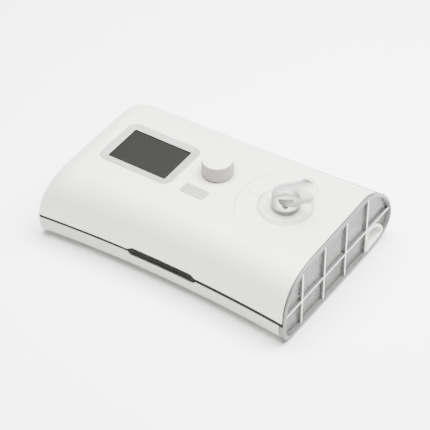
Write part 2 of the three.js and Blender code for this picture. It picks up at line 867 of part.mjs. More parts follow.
function makeKnob() {
  return turned([
    [0, knobHeight],
    [0, knobBoreTop],
    [shaftRadius + gap, knobBoreTop],
    [shaftRadius + gap, knobEdge],
    [knobHubRadius, knobEdge],
    [knobHubRadius, knobBoreTop],
    [knobTopRadius - knobSkirt, knobBoreTop],
    [knobFootRadius - knobSkirt, -knobFootBelowDeck],
    [knobFootRadius, -knobFootBelowDeck],
    [knobTopRadius, knobHeight - knobEdge],
    [knobTopRadius - knobEdge, knobHeight],
    [0, knobHeight],
  ], fineSides);
}

function makeEncoderShaft() {
  return drum(shaftRadius, [shaftFoot, knobBoreTop - gap], 0, 0, smallSides);
}

function makeEncoderPlunger() {
  return drum(plungerRadius, [plungerFoot, plungerFoot + plungerThick], 0, 0, smallSides);
}

function makeEncoderBody() {
  return block(around(0, encoderWidth), around(0, encoderWidth), [encoderFoot, encoderFoot + encoderHeight])
    .subtract(drum(plungerRadius + gap, [encoderFoot + encoderFloor, overrun], 0, 0, smallSides));
}

// Menu key with its flange and stem, and the switch under it
const keyFoot = deckUnder - keyFlangeThick;
const keyStemFoot = keyFoot - keyStemLength;

function makeModeKey() {
  return joined([
    tablet(keyLength, keyDepth, keyCorner, [keyFoot, keyProud]),
    tablet(keyLength + 2 * keyFlange, keyDepth + 2 * keyFlange, keyCorner + keyFlange, [keyFoot, deckUnder]),
    drum(keyStemRadius, [keyStemFoot, keyFoot + keyFlangeThick / 2], 0, 0, smallSides),
  ]);
}

function makeKeySwitch() {
  const top = encoderFoot + switchHeight;
  return block(around(0, switchWidth), around(0, switchWidth), [encoderFoot, top])
    .add(drum(switchTipRadius, [top - switchHeight / 2, keyStemFoot - keyPress - gap], 0, 0, smallSides));
}

// Air outlet port: a collar through the deck, held by a flange, with a web and a seal groove
function webHoleShape() {
  const shape = new THREE.Shape();
  const rounding = webHoleRadius / 4;
  for (let i = 0; i < 3; i += 1) {
    const turn = Math.PI / 2 + (i * 2 * Math.PI) / 3;
    const reach = webHoleRadius - rounding;
    const [x, y] = [reach * Math.cos(turn), reach * Math.sin(turn)];
    shape.absarc(x, y, rounding, turn - Math.PI / 3, turn + Math.PI / 3);
  }
  return shape;
}

function makeOutletPort() {
  const foot = deckUnder - portFlangeThick;
  const groove = drum(portRadius + overrun, [portSealHeight - gap, portSealHeight + portSealThick + gap])
    .subtract(drum(portRadius - portSealDepth - gap, [0, portRise]));
  const webHole = extruded(webHoleShape(), 2 * portRadius);
  webHole.rotateZ(Math.PI / 2);
  webHole.translate(0, 0, -portRadius);
  const webTop = portRise - webBelowTop;
  return joined([
    drum(portRadius, [foot, portRise]),
    drum(portRadius + portFlange, [foot, deckUnder]),
  ]).subtract(joined([
    drum(portBore, [webTop, portRise + overrun]),
    drum(portBore, [foot - overrun, webTop - webThick]),
    groove,
    solid(webHole),
  ]));
}

function makePortSeal() {
  const z = [portSealHeight, portSealHeight + portSealThick];
  return drum(portRadius, z).subtract(drum(portRadius - portSealDepth, caseHeight));
}

// Elbow's tube, drawn in by inset: up from foot, round a mitred corner with a soft edge, and out past its lip
function elbowTube(inset, foot, past) {
  const reach = hoseReach / Math.cos(hoseRise) + past;
  const [barrel, corner, tube] = [elbowBarrelRadius, elbowCornerRadius, hoseRadius].map((r) => r - inset);
  const lift = tube / Math.cos(hoseRise) - corner * Math.tan(hoseRise);
  const flat = [];
  for (let j = 0; j < roundSides; j += 1) {
    const turn = (j / roundSides) * 2 * Math.PI;
    flat.push(new THREE.Vector2(Math.cos(turn), Math.sin(turn)));
  }
  const lines = flat.map((p) => {
    const low = new THREE.Vector3(-barrel * p.y, barrel * p.x, foot);
    const middle = new THREE.Vector3(-corner * p.y, corner * p.x, hoseCross + lift * p.y);
    const high = new THREE.Vector3(
      reach * Math.cos(hoseRise) - tube * p.y * Math.sin(hoseRise),
      tube * p.x,
      hoseCross + reach * Math.sin(hoseRise) + tube * p.y * Math.cos(hoseRise));
    const towards = (end) => end.clone().sub(middle).setLength(elbowCornerReach).add(middle);
    const bend = new THREE.QuadraticBezierCurve3(towards(low), middle, towards(high));
    return [low, ...bend.getPoints(elbowCornerSteps), high];
  });
  return stack(lines[0].map((_, i) => lines.map((line) => line[i])), flat);
}

// Outlet elbow: a ribbed flange and a tube that rises from a barrel over the port and turns to its mouth
function makeElbow() {
  const flangeTop = gap + elbowFlangeThick;
  const rimTop = gap + elbowRimRise;
  const rim = drum(elbowFlangeRadius, [gap, rimTop], 0, 0, fineSides)
    .subtract(drum(elbowFlangeRadius - elbowRimThick, [flangeTop, rimTop + overrun], 0, 0, fineSides));
  const ribReach = [portRadius, elbowFlangeRadius - elbowRimThick / 2];
  const ribs = [];
  for (let i = 0; i < elbowRibs; i += 1) {
    const rib = block(ribReach, around(0, elbowRibThick), [gap, rimTop]);
    ribs.push(placed(rib, new THREE.Matrix4().makeRotationZ((i / elbowRibs) * 2 * Math.PI)));
  }
  const lip = [hoseReach, hoseCross + hoseReach * Math.tan(hoseRise)];
  const lipStart = [lip[0] - mouthLength * Math.cos(hoseRise), lip[1] - mouthLength * Math.sin(hoseRise)];
  const outer = joined([
    rim,
    ...ribs,
    elbowTube(0, gap, 0),
    pipe([lipStart, lip], mouthRadius),
  ]);
  return outer
    .subtract(elbowTube(hoseWall, portRise, overrun))
    .subtract(drum(portRadius + gap, [-overrun, portRise + gap]));
}

// Water tank: a tub, the ribbed frame on its end wall, a lid and the seal between tub and lid
const tankInset = wall + tankGap;
const endWallRight = tankFace - endPocketDepth;
const frameLeft = endWallRight + gap;
const rimLeft = shellRight + 2 * gap;
const skirtLeft = baseRight + 2 * gap;
const lidRight = endPlugLeft - gap;
const lidFoot = tubRim + lidSealThick + 2 * gap;
const allOfTank = [tankLeft - overrun, tankFace + overrun];

function tankLayer(inset, right, left, z) {
  return caseVolume(inset, right, left).intersect(block(allOfTank, caseDepth, z));
}

function caseRings(places) {
  return stack(places.map(([x, inset]) => caseRing(x, inset, fineOutline)));
}

// Frame of the end: a rim on the case's outline, a skirt below the seam where the base ends earlier,
// and ribs across the cells
function makeTankEndFrame() {
  const plug = caseVolume(endPlugInset, rimLeft + endEdge, frameLeft);
  const face = caseRings([
    [rimLeft, gap],
    [rimLeft + gap, 0],
    [tankFace - endEdge, 0],
    [tankFace - endEdge / 3, endEdge / 3],
    [tankFace, endEdge],
  ]);
  const skirt = caseRings([[skirtLeft, gap], [skirtLeft + gap, 0], [rimLeft + endEdge, 0]])
    .subtract(caseVolume(endPlugInset - gap, frameLeft, skirtLeft - overrun))
    .intersect(belowSeam)
    .subtract(wideSeam);
  const ribSpan = [tankLeft, tankFace - endRibSink];
  const ribs = [block(ribSpan, caseDepth, around(endShelf, endRibThick))];
  for (let i = 0; i < endRibs; i += 1) {
    const y = endRibShift + (i - (endRibs - 1) / 2) * endRibSpacing;
    ribs.push(block(ribSpan, around(y, endRibThick), caseHeight));
  }
  const cells = caseVolume(endPocketInset, tankFace + overrun, frameLeft - overrun)
    .add(caseVolume(endRimInset, tankFace + overrun, tankFace - endStepDepth))
    .subtract(joined(ribs));
  return joined([plug, face, skirt])
    .subtract(cells)
    .subtract(gripForm(gripWall + gap, endPlugInset - gap, [skirtLeft - overrun, tankFace + overrun]));
}

// Outline of the finger grip, grown by grow: a quarter of an ellipse, its corners rounded
function gripShape(grow) {
  const [reach, height] = [gripReach - 2 * gripCorner, gripTop - gripFoot - 2 * gripCorner];
  const core = [[0, 0]];
  for (let i = 0; i <= gripSteps; i += 1) {
    const angle = ((i / gripSteps) * Math.PI) / 2;
    core.push([reach * Math.cos(angle), height * Math.sin(angle)]);
  }
  const facing = core.map(([a, b], i) => {
    const [c, d] = core[(i + 1) % core.length];
    return Math.atan2(d - b, c - a) - Math.PI / 2;
  });
  const points = core.flatMap(([a, b], i) => {
    const before = facing[(i + core.length - 1) % core.length];
    const turn = (facing[i] - before + 4 * Math.PI) % (2 * Math.PI);
    const steps = Math.max(Math.round(turn / gripCornerTurn), 1);
    const arc = [];
    for (let k = 0; k <= steps; k += 1) {
      const angle = before + (turn * k) / steps;
      arc.push([
        gripY + gripCorner + a + (gripCorner + grow) * Math.cos(angle),
        gripFoot + gripCorner + b + (gripCorner + grow) * Math.sin(angle),
      ]);
    }
    return arc;
  });
  return shapeOf(points);
}

// The grip drawn out along the case, kept inside its outline
function gripForm(grow, inset, x) {
  return slabX(gripShape(grow), x).intersect(caseVolume(inset, x[1], x[0]));
}

function makeTankTub() {
  const body = tankLayer(tankInset, endWallRight, tankLeft, [tankFloor, tubRim]);
  const endWall = caseVolume(endPlugInset, endWallRight, endPlugLeft);
  const waterSpan = [tankFloor + tankWall, caseHeight[1]];
  const water = tankLayer(tankInset + tankWall, endPlugLeft, tankLeft + tankWall, waterSpan);
  const gripLeft = tankFace - gripDepth;
  return body.add(endWall)
    .subtract(water)
    .add(gripForm(gripWall, endPlugInset, [gripLeft - gripWall, tankFace - endEdge]))
    .subtract(gripForm(0, endPlugInset + gripWall, [gripLeft, tankFace + overrun]))
    .subtract(drum(heatPlateRadius + gap, caseHeight, heaterX, heaterY).intersect(
      block(allOfTank, caseDepth, [caseHeight[0], tubRim])));
}

function makeTankSeal() {
  const z = [tubRim + gap, tubRim + gap + lidSealThick];
  return tankLayer(tankInset, lidRight, tankLeft, z)
    .subtract(caseVolume(tankInset + tankWall, lidRight - tankWall, tankLeft + tankWall));
}

function makeTankLid() {
  const water = tankLayer(
    tankInset + tankWall, lidRight - tankWall, tankLeft + tankWall, [caseHeight[0], lidTop - tankWall]);
  return tankLayer(tankInset, lidRight, tankLeft, [lidFoot, lidTop])
    .subtract(water)
    .subtract(airOpenings(around(tankLeft, 4 * tankWall), 0));
}

// Heater on the case floor, and the metal plate in the tank's floor
const heaterFoot = innerFloor + gap + heaterMountThick + gap;
const heaterTop = heaterFoot + heaterThick;

function makeHeaterMount() {
  return drum(heaterRadius + heaterMountThick, [innerFloor + gap, heaterFoot - gap], heaterX, heaterY);
}

function makeHeaterPlate() {
  return drum(heaterRadius, [heaterFoot, heaterTop], heaterX, heaterY);
}

function makeHeatPlate() {
  const seat = tankFloor + tankWall + gap;
  return drum(heatPlateRadius, [heaterTop + gap, seat + heatPlateFlangeThick], heaterX, heaterY)
    .add(drum(heatPlateRadius + heatPlateFlange, [seat, seat + heatPlateFlangeThick], heaterX, heaterY));
}

// Ducts: from the blower to the bulkhead, and from the bulkhead back over the tank to the port
function makeBlowerDuct() {
  const [x0, x1] = [blowerOutletX + gap, bulkheadX - gap];
  const z0 = blowerFoot + blowerHeight / 2;
  const middle = (x0 + x1) / 2;
  const curve = new THREE.CubicBezierCurve(
    new THREE.Vector2(x0 + ductLead, z0), new THREE.Vector2(middle, z0),
    new THREE.Vector2(middle, openingZ), new THREE.Vector2(x1 - ductLead, openingZ));
  const bend = curve.getPoints(ductSteps).map((p) => [p.x, p.y]);
  const path = [[x0, z0], ...bend, [x1, openingZ]];
  const borePath = [[x0 - overrun, z0], ...bend, [x1 + overrun, openingZ]];
  const bore = slabY(
    stripShape(borePath, ductHeight / 2 - ductWall), around(blowerDuctY, blowerDuctWidth - 2 * ductWall));
  return slabY(stripShape(path, ductHeight / 2), around(blowerDuctY, blowerDuctWidth)).subtract(bore);
}

function makeOutletDuct() {
  const x0 = bulkheadX - gap;
  const radius = (outletDuctZ - openingZ) / 2;
  const bend = [];
  for (let i = 0; i <= ductSteps; i += 1) {
    const angle = -Math.PI / 2 - (Math.PI * i) / ductSteps;
    bend.push([x0 - ductLead + radius * Math.cos(angle), openingZ + radius + radius * Math.sin(angle)]);
  }
  const path = (start, end) => [[x0 + start, openingZ], ...bend, [end, outletDuctZ]];
  const body = slabY(stripShape(path(0, outletDuctEnd), ductHeight / 2), around(outletY, outletDuctWidth));
  const bore = slabY(
    stripShape(path(overrun, outletDuctEnd - ductWall), ductHeight / 2 - ductWall),
    around(outletY, outletDuctWidth - 2 * ductWall));
  const upwards = drum(outletDuctWidth / 2 - ductWall, [outletDuctZ, deckHeight], outletX, outletY);
  return body.subtract(bore).subtract(upwards);
}

function makeOpeningSeal(y, ductWidth) {
  const x = [bulkheadX + bulkheadThick + gap, tankLeft - gap];
  return airOpening(x, y, ductWidth, openingSealBorder)
    .subtract(airOpening([x[0] - overrun, x[1] + overrun], y, ductWidth, 0));
}

// Blower: housing with a side outlet, cover, impeller on its spindle, motor and rubber mounts
const blowerTop = blowerFoot + blowerHeight;
const coverFoot = blowerTop + gap;
const motorFoot = coverFoot + blowerWall + gap;
const motorTop = deckHeight - motorBelowDeck;
const impellerFoot = blowerFoot + blowerWall + impellerGap;
const impellerTop = coverFoot - impellerGap;

function makeBlowerHousing() {
  const outletY0 = around(blowerDuctY, blowerDuctWidth);
  const outletInner = around(blowerDuctY, blowerDuctWidth - 2 * blowerWall);
  const inside = blowerFoot + blowerWall;
  return drum(blowerRadius, [blowerFoot, blowerTop], blowerX, blowerY, fineSides)
    .add(block([blowerX, blowerOutletX], outletY0, [blowerFoot, blowerTop]))
    .subtract(drum(blowerRadius - blowerWall, [inside, blowerTop + overrun], blowerX, blowerY, fineSides))
    .subtract(drum(blowerEye, caseHeight, blowerX, blowerY))
    .subtract(block([blowerX, blowerOutletX + overrun], outletInner, [inside, blowerTop - blowerWall]));
}

function makeBlowerCover() {
  return drum(blowerRadius, [coverFoot, coverFoot + blowerWall], blowerX, blowerY, fineSides)
    .subtract(drum(2 * spindleRadius, caseHeight, blowerX, blowerY, smallSides));
}

function makeImpeller() {
  const blades = [];
  const inner = impellerHub + impellerRadius / 4;
  const bladeSpan = [impellerFoot, impellerTop - impellerDisc / 2];
  for (let i = 0; i < impellerBlades; i += 1) {
    const blade = block([0, impellerRadius - inner], around(0, bladeThick), bladeSpan);
    const place = new THREE.Matrix4().makeRotationZ((i / impellerBlades) * 2 * Math.PI)
      .multiply(new THREE.Matrix4().makeTranslation(inner, 0, 0))
      .multiply(new THREE.Matrix4().makeRotationZ(bladeLean));
    blades.push(placed(blade, place));
  }
  return joined([
    drum(impellerRadius, [impellerTop - impellerDisc, impellerTop]),
    drum(impellerHub, [impellerFoot, impellerTop], 0, 0, smallSides),
    ...blades,
  ]).subtract(drum(spindleRadius + gap, caseHeight, 0, 0, smallSides));
}

function makeSpindle() {
  return drum(spindleRadius, [impellerFoot, motorTop - motorCrown - gap], 0, 0, smallSides);
}

function makeMotor() {
  const shoulder = motorTop - motorCrown;
  return turned([
    [0, motorTop],
    [0, motorFoot],
    [motorRadius, motorFoot],
    [motorRadius, shoulder],
    [motorRadius - motorCrown, motorTop],
    [0, motorTop],
  ]).subtract(drum(spindleRadius + gap, [motorFoot - overrun, shoulder], 0, 0, smallSides));
}

function makeBlowerMount() {
  const z = [innerFloor + gap, blowerFoot - gap];
  const ring = drum(mountCircle + mountRadius / 2, [z[0], z[0] + mountRadius / 2], blowerX, blowerY)
    .subtract(drum(mountCircle - mountRadius / 2, caseHeight, blowerX, blowerY));
  const posts = [];
  for (let i = 0; i < mounts; i += 1) {
    const turn = ((i + 0.5) / mounts) * 2 * Math.PI;
    const [x, y] = [blowerX + mountCircle * Math.cos(turn), blowerY + mountCircle * Math.sin(turn)];
    posts.push(drum(mountRadius, z, x, y, smallSides));
  }
  return joined([ring, ...posts]);
}

// Main board with its capacitors and connectors, the card reader and card, and the ribbon cable
const mainBoardTop = mainBoardZ + mainBoardThick;

function makeMainBoard() {
  const thickness = [mainBoardZ, mainBoardTop];
  const board = block([mainBoardLeft, mainBoardRight], around(0, 2 * mainBoardHalfDepth), thickness);
  const canSpan = [mainBoardZ, mainBoardTop + capacitorHeight];
  const pitch = 2 * capacitorRadius + capacitorGap;
  const cans = [];
  for (let i = 0; i < capacitors; i += 1) {
    const y = mainBoardHalfDepth - capacitorRadius - capacitorGap - i * pitch;
    cans.push(drum(capacitorRadius, canSpan, mainBoardLeft + 2 * capacitorRadius, y, smallSides));
  }
  const plug = block(
    around(mainBoardRight - connectorWidth, connectorWidth),
    around(connectorWidth - mainBoardHalfDepth, connectorWidth),
    [mainBoardZ, mainBoardTop + connectorHeight]);
  return joined([board, ...cans, plug]);
}

const cardLeft = bodyLeft + cardSink;
const cardRight = cardLeft + cardLength;

function makeCard() {
  return block([cardLeft, cardRight], around(cardY, cardWidth), around(cardZ, cardThick));
}

function makeCardReader() {
  const left = bodyLeft + wall + gap;
  const z = [mainBoardTop + gap, cardZ + cardThick / 2 + gap + readerWall];
  const slotWidth = cardWidth + 2 * gap;
  const slotHeight = cardThick + 2 * gap;
  const slot = block([left - overrun, cardRight + gap], around(cardY, slotWidth), around(cardZ, slotHeight));
  return block([left, cardRight + gap + readerWall], around(cardY, slotWidth + 2 * readerWall), z)
    .subtract(slot);
}

function makeRibbon() {
  const top = deckZ(ribbonY - ribbonWidth / 2) - boardBelowDeck - boardThick - 2 * gap;
  const foot = mainBoardTop + gap;
  const curve = new THREE.CubicBezierCurve(
    new THREE.Vector2(ribbonX, foot), new THREE.Vector2(ribbonX + ribbonSway, foot + (top - foot) / 3),
    new THREE.Vector2(ribbonX + ribbonSway, top - (top - foot) / 3), new THREE.Vector2(ribbonX, top));
  const path = curve.getPoints(6).map((p) => [p.x, p.y]);
  return slabY(stripShape(path, ribbonThick / 2), around(ribbonY, ribbonWidth))
    .intersect(block([bodyLeft, 0], caseDepth, [foot, top]));
}

// Air filter in its box, and the louvred cover over it
function makeInletFilter() {
  const right = bodyLeft + filterBoxDepth - gap;
  return block(
    [right - filterThick, right],
    [filterFront + gap, filterRear - gap],
    [filterBottom + gap, filterTop - gap]);
}

function makeFilterCover() {
  const right = bodyLeft + filterBoxDepth - filterThick - 2 * gap;
  const [y0, y1] = [filterFront + gap, filterRear - gap];
  const [z0, z1] = [filterBottom + gap, filterTop - gap];
  const hollow = block(
    [bodyLeft + coverThick, right + overrun], [y0 + coverRim, y1 - coverRim], [z0 + coverRim, z1 - coverRim]);
  const louvreLength = [y0 + louvreMargin, y1 - louvreMargin];
  const throughCover = [bodyLeft - overrun, bodyLeft + coverThick + overrun];
  const louvres = [];
  for (let i = 0; i < coverLouvres; i += 1) {
    const z = z0 + ((i + 1) * (z1 - z0)) / (coverLouvres + 1);
    louvres.push(block(throughCover, louvreLength, around(z, louvreWidth)));
  }
  return block([bodyLeft, right], [y0, y1], [z0, z1]).subtract(joined([hollow, ...louvres]));
}

// Power inlet jack with its centre pin
function makePowerInlet() {
  const back = nicheFloorY - jackBack;
  const seat = nicheFloorY + gap;
  const top = seat + jackRise;
  return drumAlongY(jackRadius, [back, top], inletX, inletZ)
    .add(drumAlongY(jackRadius + jackFlange, [seat, seat + jackFlangeThick], inletX, inletZ))
    .subtract(drumAlongY(jackBore, [back + wall, top + overrun], inletX, inletZ))
    .add(drumAlongY(jackPin, [back, top - jackPin], inletX, inletZ, smallSides));
}

function makeFoot([x, y]) {
  return drum(footRadius, [0, footThick], x, y);
}

function makeCaseScrew([x, y]) {
  return drum(screwHeadRadius, [screwHeadZ, screwHeadZ + screwHeadThick], x, y, smallSides)
    .add(drum(screwRadius, [screwHeadZ + screwHeadThick / 2, screwHeadZ + screwLength], x, y, smallSides));
}

// Pieces on the tilted deck, placed in its own plane
const deck = new THREE.Group();
deck.position.z = deckHeight;
deck.rotation.x = deckTilt;
deck.add(
  piece('screen_bezel', makeScreenBezel(), greyTrim),
  piece('screen_lens', makeScreenLens(), darkGlass),
  piece('lcd_module', makeDisplay(), blackPlastic),
  piece('display_board', makeDisplayBoard(), boardGreen),
);

const knobPlace = new THREE.Group();
knobPlace.position.set(knobX, knobY, 0);
knobPlace.add(
  piece('control_knob', makeKnob(), whiteShell),
  piece('encoder_shaft', makeEncoderShaft(), steel),
  piece('encoder_plunger', makeEncoderPlunger(), blackPlastic),
  piece('encoder_body', makeEncoderBody(), blackPlastic),
);

const keyPlace = new THREE.Group();
keyPlace.position.set(keyX, keyY, 0);
keyPlace.add(
  piece('mode_key', makeModeKey(), greyTrim),
  piece('key_switch', makeKeySwitch(), blackPlastic),
);

const outletPlace = new THREE.Group();
outletPlace.position.set(outletX, outletY, 0);
outletPlace.add(
  piece('outlet_port', makeOutletPort(), whiteShell),
  piece('port_seal', makePortSeal(), softSeal),
  piece('outlet_elbow', makeElbow(), clearPlastic),
);
deck.add(knobPlace, keyPlace, outletPlace);

// Turning pieces of the blower, on its axis
const blowerPlace = new THREE.Group();
blowerPlace.position.set(blowerX, blowerY, 0);
blowerPlace.add(
  piece('impeller', makeImpeller(), innerPlastic),
  piece('blower_spindle', makeSpindle(), steel),
  piece('blower_motor', makeMotor(), steel),
);

const group = new THREE.Group();
group.add(
  piece('top_cover', makeTopCover(), whiteShell),
  piece('base_shell', makeBaseShell(), whiteShell),
  piece('tank_bulkhead', makeBulkhead(), whiteShell),
  piece('filter_box', makeFilterBox(), whiteShell),
  piece('power_niche', makePowerNiche(), whiteShell),
  piece('seam_strip_main', makeSeamGasket(inSeam.intersect(restOfSeam)), darkTrim),
  piece('seam_strip_front_right', makeSeamGasket(inWideSeam), darkTrim),
  piece('front_grille', makeFrontGrille(), darkTrim),
  deck,
  piece('tank_tub', makeTankTub(), clearPlastic),
  piece('tank_end_frame', makeTankEndFrame(), clearPlastic),
  piece('tank_lid', makeTankLid(), clearPlastic),
  piece('tank_seal', makeTankSeal(), softSeal),
  piece('tank_heat_plate', makeHeatPlate(), steel),
  piece('heater_plate', makeHeaterPlate(), steel),
  piece('heater_mount', makeHeaterMount(), innerPlastic),
  piece('blower_duct', makeBlowerDuct(), softSeal),
  piece('outlet_duct', makeOutletDuct(), innerPlastic),
  piece('tank_inlet_seal', makeOpeningSeal(blowerDuctY, blowerDuctWidth), softSeal),
  piece('tank_outlet_seal', makeOpeningSeal(outletY, outletDuctWidth), softSeal),
  piece('blower_housing', makeBlowerHousing(), innerPlastic),
  piece('blower_cover', makeBlowerCover(), innerPlastic),
  blowerPlace,
  piece('blower_mount', makeBlowerMount(), softSeal),
  piece('main_board', makeMainBoard(), boardGreen),
  piece('card_reader', makeCardReader(), steel),
  piece('memory_card', makeCard(), blackPlastic),
  piece('ribbon_cable', makeRibbon(), greyTrim),
  piece('inlet_filter', makeInletFilter(), foamGrey),
  piece('filter_cover', makeFilterCover(), whiteShell),
  piece('power_inlet', makePowerInlet(), blackPlastic),
  ...corners(footPlaces).map((place, i) => piece(`foot_${i + 1}`, makeFoot(place), footRubber)),
  ...corners(screwPlaces).map((place, i) => piece(`case_screw_${i + 1}`, makeCaseScrew(place), steel)),
);

export default group;
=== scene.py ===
# %% [markdown]
# A bedside positive airway pressure machine
#
# The machine is a low white case with a dark screen, a push knob, a key, a clear elbow for the hose
# and a clear water tank in its right end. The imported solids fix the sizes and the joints. Here the
# surfaces that show are modelled again, finer, round the same sizes, and each gets its finish. A few
# thin trims are in this scene alone, and the seam is wider in it.

# %% Load the fixed frame
import math
import bpy
from mathutils import Matrix, Vector


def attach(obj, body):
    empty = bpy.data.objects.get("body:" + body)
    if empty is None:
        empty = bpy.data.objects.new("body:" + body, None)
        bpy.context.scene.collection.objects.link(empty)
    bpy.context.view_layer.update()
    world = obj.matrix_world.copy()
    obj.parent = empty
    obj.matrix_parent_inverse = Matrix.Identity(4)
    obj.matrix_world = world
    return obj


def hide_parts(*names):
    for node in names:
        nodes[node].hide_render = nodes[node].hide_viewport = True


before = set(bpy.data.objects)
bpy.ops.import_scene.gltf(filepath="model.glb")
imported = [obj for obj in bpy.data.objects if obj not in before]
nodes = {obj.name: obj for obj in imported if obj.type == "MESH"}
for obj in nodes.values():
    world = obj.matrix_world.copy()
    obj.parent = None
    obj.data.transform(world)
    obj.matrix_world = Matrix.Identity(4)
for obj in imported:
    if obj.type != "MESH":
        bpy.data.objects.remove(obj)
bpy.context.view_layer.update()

# %% [markdown]
# The camera
#
# The photograph was taken from the front right, well above the machine, with a long lens. A camera
# could be placed by eye, but its place here comes from fitting the screen, the knob, the key, the
# elbow's flange and the tank's ribs, so that the pieces fall close to where the photograph has them.

# %% Camera
camera_place = Vector((0.7495, -1.1170, 1.1666))
camera_right = Vector((0.8308, 0.5566, -0.0003)).normalized()
camera_ahead = Vector((-0.4242, 0.6328, -0.6478)).normalized()
camera_up = camera_right.cross(camera_ahead)
camera_data = bpy.data.cameras.new("camera")
camera_data.sensor_width = 36.0
camera_data.lens = 147.85
camera = bpy.data.objects.new("camera", camera_data)
bpy.context.scene.collection.objects.link(camera)
turn = Matrix((camera_right, camera_up, -camera_ahead)).transposed()
camera.matrix_world = Matrix.Translation(camera_place) @ turn.to_4x4()
bpy.context.scene.camera = camera
print("camera", round(camera_place.length, 3), "m from the origin")

# %% [markdown]
# Materials
#
# Moulded plastic is one colour, but never quite flat: its skin has a fine spark-eroded grain that
# breaks up the highlights, and its gloss drifts a little over a large face. Each finish below is a
# Principled shader with noise in object space, in metres, driving roughness and a shallow bump.
#
# The colours aren't measured on the real plastics. The base shell, the knob's side, the screen's
# frame, the key and the tank are darker than they probably are, so that the picture's tones come near
# the photograph's under the lights set below: this darkening is painted shade. The tank's rib fronts
# and finger recess get a pale finish instead, which is painted light. Clear plastic could bend light,
# as the real one does. Here it is only see-through, by its alpha, which is simpler, and denser where
# seen edge on. There it also turns darker, which is painted shade for the light that real plastic bends.

# %% Finishes of the machine
def shader_of(name):
    material = bpy.data.materials.new(name)
    material.use_nodes = True
    return material, material.node_tree, material.node_tree.nodes["Principled BSDF"]


def grain(tree, scale, detail=3.0):
    place = tree.nodes.new("ShaderNodeTexCoord")
    noise = tree.nodes.new("ShaderNodeTexNoise")
    noise.inputs["Scale"].default_value = scale
    noise.inputs["Detail"].default_value = detail
    tree.links.new(place.outputs["Object"], noise.inputs["Vector"])
    return noise


def spread(tree, share, low, high):
    """Maps the middle of a share's range to the range from low to high."""
    steps = tree.nodes.new("ShaderNodeMapRange")
    steps.inputs["From Min"].default_value = 0.3
    steps.inputs["From Max"].default_value = 0.7
    steps.inputs["To Min"].default_value = low
    steps.inputs["To Max"].default_value = high
    tree.links.new(share, steps.inputs["Value"])
    return steps.outputs["Result"]


def blend_colours(tree, share, first, second, start=0.35, end=0.65):
    ramp = tree.nodes.new("ShaderNodeValToRGB")
    ramp.color_ramp.elements[0].position = start
    ramp.color_ramp.elements[0].color = (*first, 1)
    ramp.color_ramp.elements[1].position = end
    ramp.color_ramp.elements[1].color = (*second, 1)
    tree.links.new(share, ramp.inputs["Fac"])
    return ramp.outputs["Color"]


def emboss(tree, shader, height, strength, depth):
    bump = tree.nodes.new("ShaderNodeBump")
    bump.inputs["Strength"].default_value = strength
    bump.inputs["Distance"].default_value = depth
    tree.links.new(height, bump.inputs["Height"])
    tree.links.new(bump.outputs["Normal"], shader.inputs["Normal"])


def moulded(name, colour, roughness, grain_size=0.0006, grain_depth=0.00001, drift=0.05, tint=0.97):
    material, tree, shader = shader_of(name)
    broad = grain(tree, 18.0, 2.0)
    other = tuple(channel * tint for channel in colour)
    tree.links.new(blend_colours(tree, broad.outputs[0], colour, other), shader.inputs["Base Color"])
    rough = spread(tree, broad.outputs[0], roughness - drift, roughness + drift)
    tree.links.new(rough, shader.inputs["Roughness"])
    fine = grain(tree, 1 / grain_size)
    emboss(tree, shader, fine.outputs[0], 0.5, grain_depth)
    return material


def clear_moulding(name, tint, edge_painted_shade, roughness, ior, opacity, edge_opacity, edge_blend=0.35):
    """See-through plastic, which is denser where it is seen edge on and darker there, in painted shade."""
    material, tree, shader = shader_of(name)
    shader.inputs["IOR"].default_value = ior
    slant = tree.nodes.new("ShaderNodeLayerWeight")
    slant.inputs["Blend"].default_value = edge_blend
    facing = slant.outputs["Facing"]
    tree.links.new(blend_colours(tree, facing, tint, edge_painted_shade, 0.25, 0.8), shader.inputs["Base Color"])
    tree.links.new(spread(tree, facing, opacity, edge_opacity), shader.inputs["Alpha"])
    ripple = grain(tree, 60.0, 2.0)
    rough = spread(tree, ripple.outputs[0], roughness * 0.6, roughness * 1.4)
    tree.links.new(rough, shader.inputs["Roughness"])
    emboss(tree, shader, ripple.outputs[0], 0.3, 0.00003)
    return material


def metal(name, colour, roughness, stretch=(1, 1, 20)):
    material, tree, shader = shader_of(name)
    shader.inputs["Metallic"].default_value = 1.0
    brushing = grain(tree, 300.0, 2.0)
    squeeze = tree.nodes.new("ShaderNodeMapping")
    squeeze.inputs["Scale"].default_value = stretch
    place = brushing.inputs["Vector"].links[0].from_node
    tree.links.new(place.outputs["Object"], squeeze.inputs["Vector"])
    tree.links.new(squeeze.outputs["Vector"], brushing.inputs["Vector"])
    other = tuple(channel * 0.9 for channel in colour)
    tree.links.new(blend_colours(tree, brushing.outputs[0], colour, other), shader.inputs["Base Color"])
    rough = spread(tree, brushing.outputs[0], roughness - 0.06, roughness + 0.06)
    tree.links.new(rough, shader.inputs["Roughness"])
    return material


white_shell = moulded("white_shell", (0.63, 0.618, 0.575), 0.36)
